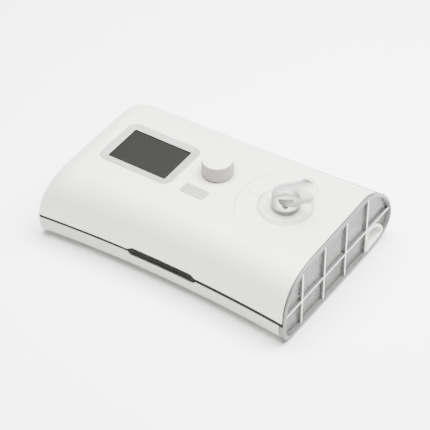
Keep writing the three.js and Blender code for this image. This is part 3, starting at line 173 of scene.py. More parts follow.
# The base, the screen's frame, the key and the knob's side are darker than the cover: painted shade.
base_painted_shade = moulded("base_painted_shade", (0.43, 0.422, 0.392), 0.4)
cable_grey_and_bezel_shade = moulded("cable_grey_and_bezel_shade", (0.27, 0.27, 0.26), 0.42)
key_painted_shade = moulded("key_painted_shade", (0.255, 0.251, 0.236), 0.46)
knob_white = moulded("knob_white", (0.62, 0.61, 0.57), 0.36)
knob_side_painted_shade = moulded("knob_side_painted_shade", (0.28, 0.275, 0.258), 0.5)
dark_trim = moulded("dark_trim", (0.007, 0.0066, 0.006), 0.55)
dark_glass = moulded("dark_glass", (0.0125, 0.013, 0.012), 0.5,
                     grain_size=0.02, grain_depth=0.000002, drift=0.03)
for dull, shine in ((dark_trim, 0.08), (dark_glass, 0.03)):
    dull.node_tree.nodes["Principled BSDF"].inputs["Specular IOR Level"].default_value = shine
black_plastic = moulded("black_plastic", (0.02, 0.02, 0.02), 0.5)
inner_plastic = moulded("inner_plastic", (0.42, 0.44, 0.45), 0.5)
soft_seal = moulded("soft_seal", (0.3, 0.32, 0.33), 0.7, grain_depth=0.00003)
foot_rubber = moulded("foot_rubber", (0.06, 0.06, 0.06), 0.85, grain_depth=0.00005)
felt = moulded("felt", (0.75, 0.77, 0.79), 0.95, grain_size=0.0012, grain_depth=0.0004)
board_green = moulded("board_green", (0.02, 0.13, 0.06), 0.4, tint=0.7)
printed_grey = moulded("printed_grey", (0.2, 0.2, 0.195), 0.6)
# The tank's and the frame's tints are darker than the clear plastic, which is painted shade.
clear_tank_painted_shade = clear_moulding("clear_tank_painted_shade", (0.17, 0.17, 0.163), (0.13, 0.13, 0.125), 0.3, 1.35, 0.55, 0.9)
clear_frame_painted_shade = clear_moulding("clear_frame_painted_shade", (0.15, 0.15, 0.145), (0.12, 0.12, 0.116), 0.25, 1.4, 0.92, 0.97)
clear_elbow = clear_moulding("clear_elbow", (0.7, 0.7, 0.69), (0.16, 0.16, 0.157), 0.1, 1.46, 0.08, 0.95,
                             edge_blend=0.5)
# A pale opaque finish for the tank's rib fronts and finger recess, which is painted light.
painted_light_white = moulded("painted_light_white", (0.8, 0.8, 0.78), 0.45)
steel = metal("steel", (0.6, 0.61, 0.62), 0.28)
aluminium = metal("aluminium", (0.75, 0.76, 0.77), 0.35)
print("finishes:", len(bpy.data.materials))

# %% [markdown]
# Building blocks
#
# Almost every piece is either a stack of outlines, such as the case, or a profile turned round an
# axis, such as the knob. Both are the same mesh: rings of points, joined by quads and closed by a
# flat cap at each end. Cuts could be drawn into the outlines, but most cross a curved wall, so they are
# boolean modifiers, applied at once.

# %% Rings, laths and cuts
MM = 0.001
GAP = 0.3
PAST = 3.0
DECK_TILT = math.radians(2)
DECK_HEIGHT = 77.25
SLIVER, LEAST_CORNER, NEAR_AXIS = 0.01, 0.05, 0.001
FLANGE_TOP = -2.8


def object_of(name, points, faces):
    mesh = bpy.data.meshes.new(name)
    mesh.from_pydata([Vector(p) * MM for p in points], [], faces)
    mesh.validate()
    made = bpy.data.objects.new(name, mesh)
    bpy.context.scene.collection.objects.link(made)
    return made


def stacked(name, rings, closed=False):
    """Rings of equal count, capped at the ends, or joined last to first when closed."""
    count = len(rings[0])
    faces = []
    for i in range(len(rings) if closed else len(rings) - 1):
        low, high = i * count, ((i + 1) % len(rings)) * count
        faces += [(low + j, low + (j + 1) % count, high + (j + 1) % count, high + j) for j in range(count)]
    if not closed:
        faces.append(tuple(reversed(range(count))))
        faces.append(tuple((len(rings) - 1) * count + j for j in range(count)))
    made = object_of(name, [p for ring in rings for p in ring], faces)
    outward(made)
    return made


def outward(made):
    """Turns the faces outwards, by the sign of the enclosed volume."""
    mesh = made.data
    mesh.calc_loop_triangles()
    spots = [v.co for v in mesh.vertices]
    volume = 0.0
    for triangle in mesh.loop_triangles:
        a, b, c = (spots[i] for i in triangle.vertices)
        volume += a.dot(b.cross(c))
    if volume < 0:
        mesh.flip_normals()


def turned(name, profile, x=0.0, y=0.0, axis="Z", sides=96, closed=False):
    """A profile of radius and height turned round an axis through (x, y), or (x, z) along Y."""
    rings = []
    for radius, height in profile:
        radius = max(radius, NEAR_AXIS)
        ring = []
        for j in range(sides):
            angle = 2 * math.pi * j / sides
            across, along = radius * math.cos(angle), radius * math.sin(angle)
            ring.append((x + across, y + along, height) if axis == "Z" else (x + across, height, y - along))
        rings.append(ring)
    return stacked(name, rings, closed)


def box_of(x, y, z, name="tool"):
    rings = [[(a, y[0], z[0]), (a, y[1], z[0]), (a, y[1], z[1]), (a, y[0], z[1])] for a in x]
    return stacked(name, rings)


def drum(radius, z, x=0.0, y=0.0, sides=96, name="tool"):
    return turned(name, [(radius, z[0]), (radius, z[1])], x, y, sides=sides)


def rounded(length, depth, corner, steps=10):
    """Outline of a rectangle with rounded corners, about its middle."""
    points = []
    for quarter, (sx, sy) in enumerate(((1, 1), (-1, 1), (-1, -1), (1, -1))):
        for i in range(steps + 1):
            angle = (quarter + i / steps) * math.pi / 2
            x = sx * (length / 2 - corner) + corner * math.cos(angle)
            y = sy * (depth / 2 - corner) + corner * math.sin(angle)
            points.append((x, y))
    return points


def level_rings(levels, x, y):
    """Rounded rectangles at heights: each level is (length, depth, corner, z)."""
    return [[(x + a, y + b, z) for a, b in rounded(length, depth, max(corner, LEAST_CORNER))]
            for length, depth, corner, z in levels]


def tablet(levels, x=0.0, y=0.0, name="tool"):
    return stacked(name, level_rings(levels, x, y))


def slab(outline, span, axis="Y", name="tool"):
    """An outline in X and Z drawn out along Y, or one in Y and Z along X."""
    if axis == "Y":
        rings = [[(a, at, b) for a, b in outline] for at in span]
    else:
        rings = [[(at, a, b) for a, b in outline] for at in span]
    return stacked(name, rings)


def boolean(body, tool, operation):
    modifier = body.modifiers.new("cut", "BOOLEAN")
    modifier.operation = operation
    modifier.object = tool
    modifier.solver = "MANIFOLD"
    bpy.context.view_layer.update()
    made = bpy.data.meshes.new_from_object(body.evaluated_get(bpy.context.evaluated_depsgraph_get()))
    body.modifiers.clear()
    body.data = made
    bpy.data.objects.remove(tool)
    return body


def carve(body, *tools):
    for tool in tools:
        boolean(body, tool, "DIFFERENCE")
    return body


def add(body, *tools):
    for tool in tools:
        boolean(body, tool, "UNION")
    return body


def shift(x, y, z):
    return Matrix.Translation(Vector((x, y, z)) * MM)


def on_deck(made, x=0.0, y=0.0):
    """Moves a piece drawn about the deck's own axes to its place in the tilted deck."""
    made.data.transform(shift(0, 0, DECK_HEIGHT) @ Matrix.Rotation(DECK_TILT, 4, "X") @ shift(x, y, 0))
    return made


def finished(made, material, body, *replaced, slot=None, angle=35):
    """Smooths a piece up to its edges, gives it its finish, and lets it ride on its body."""
    made.data.shade_smooth()
    made.data.set_sharp_from_angle(angle=math.radians(angle))
    made.data.materials.clear()
    made.data.materials.append(material)
    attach(made, body)
    if replaced:
        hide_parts(*replaced)
    print(made.name, len(made.data.polygons), "faces, size in mm",
          [round(size / MM, 1) for size in made.dimensions])
    return made


# %% [markdown]
# The case
#
# The case is one smooth form: its section is drawn by five curves, and it is waisted in plan. A
# subdivided cage could follow it, but the shells, the seam strip and the tank all share this form at
# different depths. So one function gives the section at any place and depth, and each shell is two
# of these forms, one cut from the other.

# %% The form of the case
CASE_LEFT, SHELL_RIGHT, TANK_FACE = -146.0, 142.8, 146.0
FRONT_WAIST, FRONT_FLARE = 93.4, 7.7
REAR_WAIST, REAR_FLARE, REAR_FLARE_START = 90.2, 10.9, -111.0
UNDERSIDE, WALL = 1.5, 2.5
END_TOP, END_FRONT, END_REAR, END_UNDER = 28.0, 6.0, 18.0, 6.0
DECK_REAR, DECK_FRONT, DECK_STEPS = 0.435, 0.495, 8
SAME_SPOT, LEAST_STEP = 1e-6, 0.1
SECTION = (
    (1, ((0.5, 0), (0.61, 0), (0.75, 0.0265), (0.85, 0.057)), 8),
    (1, ((0.85, 0.057), (0.94, 0.0885), (1, 0.17), (1, 0.297)), 12),
    (1, ((1, 0.297), (0.979, 0.639), (0.653, 1), (DECK_REAR, 1)), 30),
    (-1, ((DECK_FRONT, 1), (0.868, 1), (1, 0.741), (1, 0.367)), 30),
    (-1, ((1, 0.285), (1, 0.09), (0.95, 0), (0.83, 0)), 16),
)


def curve_points(corners, count):
    points = []
    for i in range(count + 1):
        t = i / count
        shares = ((1 - t) ** 3, 3 * t * (1 - t) ** 2, 3 * t * t * (1 - t), t ** 3)
        points.append(tuple(sum(s * c[k] for s, c in zip(shares, corners)) for k in (0, 1)))
    return points


def section_shares():
    points = []
    for side, corners, count in SECTION:
        for depth, height in curve_points(corners, count):
            spot = (side * depth, height)
            if not points or math.dist(points[-1], spot) > SAME_SPOT:
                points.append(spot)
        if side == 1 and corners[-1][1] == 1:
            flat = DECK_REAR + DECK_FRONT
            points += [(DECK_REAR - flat * i / DECK_STEPS, 1) for i in range(1, DECK_STEPS)]
    return points


shares = section_shares()


def deck_z(y):
    return DECK_HEIGHT + math.tan(DECK_TILT) * y


def front_depth(x):
    return FRONT_WAIST + FRONT_FLARE * (x / TANK_FACE) ** 2


def rear_depth(x):
    along = max(x - REAR_FLARE_START, 0) / (TANK_FACE - REAR_FLARE_START)
    return REAR_WAIST + REAR_FLARE * along ** 2


def case_ring(x, inset):
    reach = x - CASE_LEFT - inset

    def drawn_in(radius):
        inner = max(radius - inset, 0)
        return inner - math.sqrt(max(inner ** 2 - (inner - reach) ** 2, 0)) if reach < inner else 0

    front = front_depth(x) - inset - drawn_in(END_FRONT)
    rear = rear_depth(x) - inset - drawn_in(END_REAR)
    low = UNDERSIDE + inset + drawn_in(END_UNDER)
    drop = inset + drawn_in(END_TOP)
    ring = []
    for depth, height in shares:
        y = depth * (front if depth < 0 else rear)
        ring.append((x, y, low + height * (deck_z(y) - drop - low)))
    return ring


def case_places(inset, left, right, rounding_steps=16, spacing=6.0):
    start = CASE_LEFT + inset
    radius = END_TOP - inset
    places = [start + radius * (1 - math.cos(i / rounding_steps * math.pi / 2))
              for i in range(rounding_steps)]
    straight = start + radius
    count = max(int((right - straight) / spacing), 2)
    places += [straight + (right - straight) * i / count for i in range(count + 1)]
    return [left] + [x for x in places if x > left + LEAST_STEP]


def case_form(inset, right, left=None, name="tool"):
    left = CASE_LEFT + inset if left is None else left
    return stacked(name, [case_ring(x, inset) for x in case_places(inset, left, right)])


end_outline = case_ring(TANK_FACE, 0)
print("section of", len(end_outline), "points, depth",
      round(max(p[1] for p in end_outline) - min(p[1] for p in end_outline), 1), "mm")

# %% [markdown]
# The seam
#
# The two shells meet along a thin dark line. It runs low along the front and climbs over the ends to
# the rear shoulder. A painted line would vanish from close by, so the shells really stop short of
# each other here and a dark strip sits between them, a little sunk. The strip's near-black colour is
# painted shade, standing for the shadow in the gap. In the imported solids the gap is probably too
# narrow, 1.5 mm and 2.4 mm right of the slot. It is wider here, and its width was picked as the one
# whose picture looked like the photograph.

# %% The shells, cut along the seam
SEAM_Z, SEAM_RISE, SEAM_LEVEL_END, SEAM_TOP = 26.0, 45.0, -70.0, 74.0
SEAM_GAP, SEAM_WIDE_GAP, SEAM_INSET, SEAM_FIT = 3.3, 4.3, 0.1, 0.05
BASE_RIGHT = 139.1
FAR = 200.0
BEYOND = (CASE_LEFT - PAST, TANK_FACE + PAST)


def seam_line(lift):
    rear = SEAM_Z + SEAM_RISE + lift
    return [(-FAR, SEAM_Z + lift), (SEAM_LEVEL_END, SEAM_Z + lift), (SEAM_TOP, rear), (FAR, rear)]


def between(low, high):
    return slab(low + list(reversed(high)), BEYOND, "X")


def above_seam():
    return between(seam_line(SEAM_GAP / 2), [(-FAR, FAR), (FAR, FAR)])


def below_seam():
    return between([(-FAR, -PAST), (FAR, -PAST)], seam_line(-SEAM_GAP / 2))


def in_seam(width, clearance=0.0):
    half = width / 2 - clearance
    return between(seam_line(-half), seam_line(half))


def skin(name, outer, inner, right=SHELL_RIGHT):
    made = case_form(outer, right, name=name)
    return carve(made, case_form(inner, right + PAST))


# %% [markdown]
# The slot in the front seam
#
# The slot is a long hexagon where the seam opens. Its dark insert has a row of fine leaning grooves
# over a plain lip. The grooves could be stripes in the finish, but then they would cast no shade. So
# each one is cut from the insert by its own leaning bar.

# %% Slot outline and insert
SLOT_X, SLOT_HALF, SLOT_TOP_HALF, SLOT_FOOT_HALF = 0.7, 43.0, 34.4, 37.1
SLOT_TOP, SLOT_FOOT, SLOT_INSET, SLOT_DEPTH = 31.2, 20.8, 1.2, 2.1
GROOVES, GROOVE_WIDTH, GROOVE_DEPTH, SLOT_LIP = 24, 0.9, 0.9, 2.4
GROOVE_LEAN = math.radians(25)


def front_right():
    return box_of((SLOT_X, TANK_FACE + PAST), (-FAR, 0), (-PAST, FAR))


def wide_seam(clearance=0.0):
    """The front seam right of the slot, where it is wider."""
    return boolean(in_seam(SEAM_WIDE_GAP, clearance), front_right(), "INTERSECT")


def slot_prism(inset):
    half = [(SLOT_FOOT_HALF - 2 * inset, SLOT_FOOT + inset),
            (SLOT_HALF - 2 * inset, (SLOT_TOP + SLOT_FOOT) / 2),
            (SLOT_TOP_HALF - 2 * inset, SLOT_TOP - inset)]
    outline = [(SLOT_X + a, z) for a, z in half] + [(SLOT_X - a, z) for a, z in reversed(half)]
    return slab(outline, (-FAR, -FRONT_WAIST / 2))


def front_grille():
    made = skin("front_slot_insert", SLOT_INSET, SLOT_INSET + SLOT_DEPTH)
    boolean(made, slot_prism(GAP), "INTERSECT")
    floor = case_form(SLOT_INSET + GROOVE_DEPTH, SHELL_RIGHT)
    middle = (SLOT_TOP + SLOT_FOOT) / 2
    pitch = 2 * SLOT_TOP_HALF / GROOVES
    bars = None
    for i in range(GROOVES):
        bar = box_of((-GROOVE_WIDTH / 2, GROOVE_WIDTH / 2), (-FAR, -FRONT_WAIST / 2),
                     (SLOT_LIP - middle + SLOT_FOOT, middle - SLOT_FOOT))
        at = SLOT_X - SLOT_TOP_HALF + (i + 0.5) * pitch
        bar.data.transform(shift(at, 0, middle) @ Matrix.Rotation(GROOVE_LEAN, 4, "Y"))
        bars = bar if bars is None else add(bars, bar)
    carve(bars, floor)
    carve(made, bars)
    return finished(made, dark_trim, "machine", "front_grille", slot="dark_trim")


front_grille()

# %% [markdown]
# The top cover
#
# The deck carries four openings: the screen's, the key's, the outlet's, and a shallow dish round the
# knob, which gives a finger room to grip it. They are cut square to the deck, which leans back a
# little, so every tool is drawn flat first and then laid on the deck.

# %% Top cover
SCREEN_X, SCREEN_Y, BEZEL_LENGTH, BEZEL_DEPTH, BEZEL_CORNER = -70.8, -9.6, 85.5, 62.6, 9.0
KEY_X, KEY_Y, KEY_LENGTH, KEY_DEPTH, KEY_CORNER = -0.9, -33.5, 26.8, 13.2, 3.0
KNOB_X, KNOB_Y, DISH_RADIUS, DISH_FLOOR, DISH_DEPTH, DISH_PAD = 1.9, 3.3, 21.3, 17.8, 1.5, 1.7
DISH_RING = 1.2
OUTLET_X, OUTLET_Y, PORT_RADIUS = 85.3, -4.4, 13.4
PLUNGER_RADIUS = 3.3
SCREEN_HOLE_EDGE, KEY_HOLE_EDGE = 0.9, 0.3


def dish_tool():
    """A shallow bowl with a flat floor and a softly rounded rim."""
    steps = 8
    width = DISH_RADIUS - DISH_FLOOR
    profile = [(DISH_FLOOR - DISH_RING, -DISH_DEPTH), (DISH_FLOOR, -DISH_DEPTH)]
    for i in range(1, steps + 1):
        share = i / steps
        profile.append((DISH_FLOOR + width * share, -DISH_DEPTH * (0.5 + 0.5 * math.cos(math.pi * share))))
    profile.append((DISH_RADIUS + SLIVER, PAST))
    return turned("tool", profile, KNOB_X, KNOB_Y, sides=128)


def softened(length, depth, corner, rounding, x, y):
    """A through cut whose upper edge is rounded over."""
    levels = [(length, depth, corner, -2 * WALL)]
    for i in range(7):
        angle = i / 6 * math.pi / 2
        out = 2 * rounding * (1 - math.cos(angle))
        high = rounding * (math.sin(angle) - 1) + SLIVER
        levels.append((length + out, depth + out, corner + out / 2, high))
    levels.append((*levels[-1][:3], PAST))
    return tablet(levels, x, y)


def top_cover():
    made = skin("upper_case", 0, WALL)
    boolean(made, above_seam(), "INTERSECT")
    carve(made, wide_seam())
    pad = drum(DISH_RADIUS + WALL, (-WALL - DISH_PAD, -WALL / 2), KNOB_X, KNOB_Y)
    add(made, on_deck(pad))
    through = (-2 * WALL, PAST)
    tools = [
        softened(BEZEL_LENGTH, BEZEL_DEPTH, BEZEL_CORNER, SCREEN_HOLE_EDGE, SCREEN_X, SCREEN_Y),
        softened(KEY_LENGTH + 2 * GAP, KEY_DEPTH + 2 * GAP, KEY_CORNER + GAP, KEY_HOLE_EDGE, KEY_X, KEY_Y),
        drum(PORT_RADIUS + GAP, through, OUTLET_X, OUTLET_Y),
        drum(PLUNGER_RADIUS + GAP, (-3 * WALL, PAST), KNOB_X, KNOB_Y, 32),
        dish_tool(),
    ]
    carve(made, *[on_deck(tool) for tool in tools])
    carve(made, slot_prism(0))
    return finished(made, white_shell, "machine", "top_cover", slot="white_shell")


top_cover()

# %% [markdown]
# The seam strips
#
# A strip could be swept along the line, but it would have to follow the case at each turn. So it is cut
# from the case's own form instead, drawn a little in and kept only between the shells.

# %% Seam strips
def seam_strip(name, node, space):
    # The strip's near-black finish is painted shade for the shadow in the gap.
    made = skin(name, SEAM_INSET, WALL)
    boolean(made, space, "INTERSECT")
    carve(made, slot_prism(-SEAM_FIT))
    return finished(made, dark_trim, "machine", node, slot="dark_trim")


seam_strip("seam_line_front_right", "seam_strip_front_right", wide_seam(SEAM_FIT))
seam_strip("seam_line", "seam_strip_main", carve(in_seam(SEAM_GAP, SEAM_FIT), front_right()))

# %% [markdown]
# The base
#
# The base shell carries what stays put: two rails under the tank, and sockets for the feet and the
# screws. The bay is seen when the tank is out, so its walls are modelled as they are, and the bulkhead
# that closes the dry side is a piece of its own. The shell could be given its thickness by a modifier,
# but then its inner side wouldn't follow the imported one, so it is cut from the case's form.

# %% Base shell
BULKHEAD = (38.0, 40.5)
BULKHEAD_TOP, TANK_FLOOR, PLUG_LEFT, TANK_GAP = 55.0, 8.6, 138.8, 1.2
RAILS, RAIL_THICK = (-60.0, 48.0), 4.0
FILTER_Y, FILTER_Z, FILTER_DEPTH, FILTER_WALL, VENT_MARGIN = (2.0, 50.0), (12.0, 40.0), 13.0, 2.0, 6.0
JACK_X, JACK_Z, JACK_RADIUS = -100.0, 25.0, 5.5
NICHE_LENGTH, NICHE_HEIGHT, NICHE_CORNER, NICHE_FLOOR = 24.0, 22.0, 2.0, 80.5
CARD_Y, CARD_Z, CARD_WIDTH, CARD_THICK = -25.0, 14.5, 24.0, 2.1
SCOOP_RADIUS, SCOOP_DEPTH, SCOOP_HEIGHT = 7.0, 1.8, 9.0
DUCTS = ((-4.4, 20.0), (25.0, 22.0))
DUCT_Z, DUCT_HEIGHT, DUCT_WALL = 44.0, 14.0, 1.3
FEET = ((-96.0, -69.0), (-96.0, 36.0), (112.0, -69.0), (112.0, 36.0))
SCREWS = ((-118.0, -68.0), (-118.0, 64.0), (24.0, -68.0), (24.0, 64.0))
FOOT_RADIUS, FOOT_THICK = 8.0, 2.5
SCREW_HEAD_RADIUS, SCREW_HEAD_TOP = 3.0, 6.6


def around(middle, width):
    return (middle - width / 2, middle + width / 2)


def grown(span, amount):
    return (span[0] - amount, span[1] + amount)


def inside_case(body, inset):
    return boolean(body, case_form(inset, SHELL_RIGHT), "INTERSECT")


def niche_hollow():
    made = tablet([(NICHE_LENGTH, NICHE_HEIGHT, NICHE_CORNER, z) for z in (-FAR, -NICHE_FLOOR)])
    made.data.transform(shift(JACK_X, 0, JACK_Z) @ Matrix.Rotation(math.pi / 2, 4, "X"))
    return made


def filter_hollow():
    return box_of((CASE_LEFT - PAST, CASE_LEFT + FILTER_DEPTH), FILTER_Y, FILTER_Z)


def card_hollows():
    slot = box_of((CASE_LEFT - PAST, CASE_LEFT + WALL + PAST), around(CARD_Y, CARD_WIDTH + 2 * GAP),
                  around(CARD_Z, CARD_THICK + 2 * GAP))
    scoop = drum(SCOOP_RADIUS, around(CARD_Z, SCOOP_HEIGHT), CASE_LEFT + SCOOP_DEPTH - SCOOP_RADIUS, CARD_Y)
    return slot, scoop


def base_shell():
    made = skin("lower_case", 0, WALL, BASE_RIGHT)
    boolean(made, below_seam(), "INTERSECT")
    carve(made, wide_seam())
    for y in RAILS:
        rail = box_of((BULKHEAD[1] + GAP, PLUG_LEFT - TANK_GAP), around(y, RAIL_THICK),
                      (-PAST, TANK_FLOOR - GAP))
        add(made, inside_case(rail, WALL / 2))
    carve(made, slot_prism(0), filter_hollow(), niche_hollow(), *card_hollows())
    carve(made, *[drum(FOOT_RADIUS + GAP, (-PAST, FOOT_THICK + GAP), x, y) for x, y in FEET])
    carve(made, *[drum(SCREW_HEAD_RADIUS + GAP, (-PAST, SCREW_HEAD_TOP), x, y, 32) for x, y in SCREWS])
    # The base's finish is darker than the top cover's: painted shade, for the lower part gets less light.
    return finished(made, base_painted_shade, "machine", "base_shell", slot="white_shell")


base_shell()

# %% [markdown]
# The inner walls
#
# Three inner walls come next: the bulkhead with its two air openings, the box that holds the air
# filter, and the niche that takes the power plug. They could be part of the base, as in a real
# moulding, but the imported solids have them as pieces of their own. Each is a block, kept inside the
# case and hollowed.

# %% Bulkhead, filter box and niche
def air_opening(x, y, width):
    return box_of(x, around(y, width - 2 * DUCT_WALL), around(DUCT_Z, DUCT_HEIGHT - 2 * DUCT_WALL))


def bulkhead():
    made = inside_case(box_of(BULKHEAD, (-FAR, FAR), (-PAST, BULKHEAD_TOP), "tank_bay_bulkhead"), WALL + GAP)
    carve(made, *[air_opening(grown(BULKHEAD, PAST), y, width) for y, width in DUCTS])
    return finished(made, white_shell, "machine", "tank_bulkhead", slot="white_shell")


def filter_box():
    right = CASE_LEFT + FILTER_DEPTH + FILTER_WALL
    block = box_of((CASE_LEFT, right), grown(FILTER_Y, FILTER_WALL), grown(FILTER_Z, FILTER_WALL),
                   "air_filter_box")
    made = inside_case(block, WALL + GAP)
    vent = box_of((CASE_LEFT, right + PAST), grown(FILTER_Y, -VENT_MARGIN), grown(FILTER_Z, -VENT_MARGIN))
    carve(made, filter_hollow(), vent)
    return finished(made, white_shell, "machine", "filter_box", slot="white_shell")


def power_niche():
    block = box_of(around(JACK_X, NICHE_LENGTH + 2 * WALL), (NICHE_FLOOR - WALL, FAR),
                   around(JACK_Z, NICHE_HEIGHT + 2 * WALL), "power_plug_niche")
    made = inside_case(block, WALL + GAP)
    reach = ((JACK_RADIUS + GAP, NICHE_FLOOR - 2 * WALL), (JACK_RADIUS + GAP, NICHE_FLOOR + PAST))
    carve(made, niche_hollow(), turned("tool", reach, JACK_X, JACK_Z, "Y"))
    return finished(made, white_shell, "machine", "power_niche", slot="white_shell")


bulkhead()
filter_box()
power_niche()

# %% [markdown]
# The screen
#
# The screen lies at the bottom of a pale frame whose border slopes down to it. A bevelled box with a
# hole would have the same slope at each edge. So the frame is a stack of rounded rectangles: out, over
# a small rounded edge, in across the border, and down the window.

# %% Screen bezel and lens
WINDOW_LENGTH, WINDOW_DEPTH, WINDOW_CORNER, WINDOW_SINK = 68.5, 47.3, 1.5, 1.0
BEZEL_EDGE, BEZEL_ROUNDING, BEZEL_FOOT, BEZEL_FLANGE = 1.2, 0.5, -4.3, 2.6
BORDER_EASE, BORDER_DIP, WINDOW_EASE, WINDOW_DIP, WINDOW_EDGE = 0.6, 0.12, 0.15, 0.05, 0.3
LENS_SINK, LENS_FOOT, LENS_EDGE = 0.9, -2.6, 0.15
LINER, LINER_FIT, LINER_TOP, LINER_FOOT = 0.3, 0.02, 0.1, 0.2


def frame_level(inset, z):
    return (BEZEL_LENGTH - 2 * inset, BEZEL_DEPTH - 2 * inset, BEZEL_CORNER - inset, z)


def window_level(grow, z):
    return (WINDOW_LENGTH + 2 * grow, WINDOW_DEPTH + 2 * grow, WINDOW_CORNER + grow, z)


def screen_bezel():
    levels = [frame_level(-BEZEL_FLANGE, BEZEL_FOOT), frame_level(-BEZEL_FLANGE, FLANGE_TOP)]
    levels.append(frame_level(GAP, FLANGE_TOP + SLIVER))
    for i in range(5):
        angle = i / 4 * math.pi / 2
        levels.append(frame_level(GAP + BEZEL_ROUNDING * (1 - math.cos(angle)),
                                  BEZEL_ROUNDING * (math.sin(angle) - 1)))
    levels.append(frame_level(GAP + BEZEL_EDGE, 0))
    levels.append(frame_level(GAP + BEZEL_EDGE + BORDER_EASE, -BORDER_DIP))
    levels.append(window_level(BORDER_EASE, -WINDOW_SINK + BORDER_DIP))
    levels.append(window_level(WINDOW_EASE, -WINDOW_SINK - WINDOW_DIP))
    levels += [window_level(0, -WINDOW_SINK - WINDOW_EDGE), window_level(0, BEZEL_FOOT)]
    made = on_deck(stacked("screen_frame", level_rings(levels, SCREEN_X, SCREEN_Y), closed=True))
    # The frame's grey is darker than its pale plastic, which is painted shade.
    return finished(made, cable_grey_and_bezel_shade, "machine", "screen_bezel", slot="grey_trim", angle=50)


def window_liner():
    """The dark edge of the window, seen on its rear and left walls."""
    high, low = -WINDOW_SINK - LINER_TOP, -WINDOW_SINK - LENS_SINK - LINER_FOOT
    levels = [window_level(-LINER_FIT, low), window_level(-LINER_FIT, high),
              window_level(-LINER, high), window_level(-LINER, low)]
    made = on_deck(stacked("screen_window_liner", level_rings(levels, SCREEN_X, SCREEN_Y), closed=True))
    return finished(made, dark_trim, "machine", slot="dark_trim")


def screen_lens():
    top = -WINDOW_SINK - LENS_SINK
    levels = [window_level(-GAP, LENS_FOOT + GAP), window_level(-GAP, top - LENS_EDGE),
              window_level(-GAP - LENS_EDGE, top)]
    made = tablet(levels, SCREEN_X, SCREEN_Y, "screen_window")
    return finished(on_deck(made), dark_glass, "machine", "screen_lens", slot="screen_glass")


screen_bezel()
window_liner()
screen_lens()

# %% [markdown]
# The knob and the key
#
# The knob is a short cone with a rounded top edge. A cylinder with a bevel would be quicker, but one
# profile turned round its axis also gives the slant and the hollow underneath. Its side has a finish
# of its own, darker than its top, which is painted shade. The key is a low tablet with a softened rim
# and a plain face, in a darker grey that is painted shade.

# %% Knob and key
KNOB_FOOT, KNOB_TOP, KNOB_HEIGHT = 16.6, 15.5, 16.0
KNOB_EDGE, KNOB_SKIRT, KNOB_CROWN, KNOB_HUB, SHAFT_RADIUS = 0.8, 2.2, 4.0, 6.0, 3.0
KNOB_SINK, KNOB_CHAMFER, CROWN_SHARE, SIDE_SLANT = 0.2, 0.4, 0.6, 0.4
KEY_PROUD, KEY_FLANGE, KEY_FOOT, KEY_STEM, KEY_STEM_FOOT, KEY_EDGE = 0.4, 1.4, -4.0, 2.0, -6.2, 0.5
KEY_ROUNDING, KEY_EASE, KEY_FACE = 0.4, 0.12, 4.0


def rounded_corner(radius, middle_r, middle_z, start, end, steps=8):
    """Points of an arc in a turned profile, with angles in quarter turns."""
    spots = []
    for i in range(steps + 1):
        angle = (start + (end - start) * i / steps) * math.pi / 2
        spots.append((middle_r + radius * math.cos(angle), middle_z + radius * math.sin(angle)))
    return spots


def control_knob():
    bore_top = KNOB_HEIGHT - KNOB_CROWN
    profile = [(0, bore_top), (SHAFT_RADIUS + GAP, bore_top), (SHAFT_RADIUS + GAP, KNOB_EDGE)]
    profile += [(KNOB_HUB, KNOB_EDGE), (KNOB_HUB, bore_top), (KNOB_TOP - KNOB_SKIRT, bore_top)]
    profile += [(KNOB_FOOT - KNOB_SKIRT, -KNOB_SINK), (KNOB_FOOT - KNOB_CHAMFER, -KNOB_SINK)]
    profile.append((KNOB_FOOT, KNOB_SINK))
    profile += rounded_corner(KNOB_EDGE, KNOB_TOP - KNOB_EDGE, KNOB_HEIGHT - KNOB_EDGE, 0, 1)
    profile += [(KNOB_TOP * CROWN_SHARE, KNOB_HEIGHT), (0, KNOB_HEIGHT)]
    made = on_deck(turned("push_knob", profile, sides=128), KNOB_X, KNOB_Y)
    finished(made, knob_white, "knob", "control_knob", slot="white_shell")
    # The side's darker finish is painted shade: the side faces away from the light from above.
    made.data.materials.append(knob_side_painted_shade)
    for face in made.data.polygons:
        if abs(face.normal.z) < SIDE_SLANT:
            face.material_index = 1
    return made


def mode_key():
    def level(grow, z):
        return (KEY_LENGTH + 2 * grow, KEY_DEPTH + 2 * grow, KEY_CORNER + grow, z)

    levels = [level(KEY_FLANGE, KEY_FOOT), level(KEY_FLANGE, FLANGE_TOP), level(0, FLANGE_TOP + SLIVER),
              level(0, KEY_PROUD - KEY_ROUNDING), level(-KEY_EASE, KEY_PROUD - KEY_EASE),
              level(-KEY_ROUNDING, KEY_PROUD), level(-KEY_FACE, KEY_PROUD)]
    made = tablet(levels, name="key_cap")
    add(made, drum(KEY_STEM, (KEY_STEM_FOOT, KEY_FOOT + KEY_EDGE), sides=32))
    # The key's grey is darker than its plastic, which is painted shade.
    return finished(on_deck(made, KEY_X, KEY_Y), key_painted_shade, "mode_key", "mode_key", slot="grey_trim")


control_knob()
mode_key()

# %% [markdown]
# The air outlet
#
# A white collar stands up through the deck, and its web leaves a rounded triangle open. It could be
# joined from tubes and discs, but one closed profile turned round its axis gives the bore, the
# flange and the groove of the seal at once. Only the web is a disc of its own, with the opening cut.

# %% Port
PORT_BORE, PORT_RISE, PORT_FLANGE, PORT_FOOT = 10.6, 4.6, 4.0, -4.7
WEB_TOP, WEB_FOOT, WEB_HOLE, COLLAR_EDGE, SEAL_EDGE = 4.2, 2.7, 8.8, 0.4, 0.3
SEAL_Z, SEAL_THICK, SEAL_DEPTH = 2.2, 1.2, 1.2


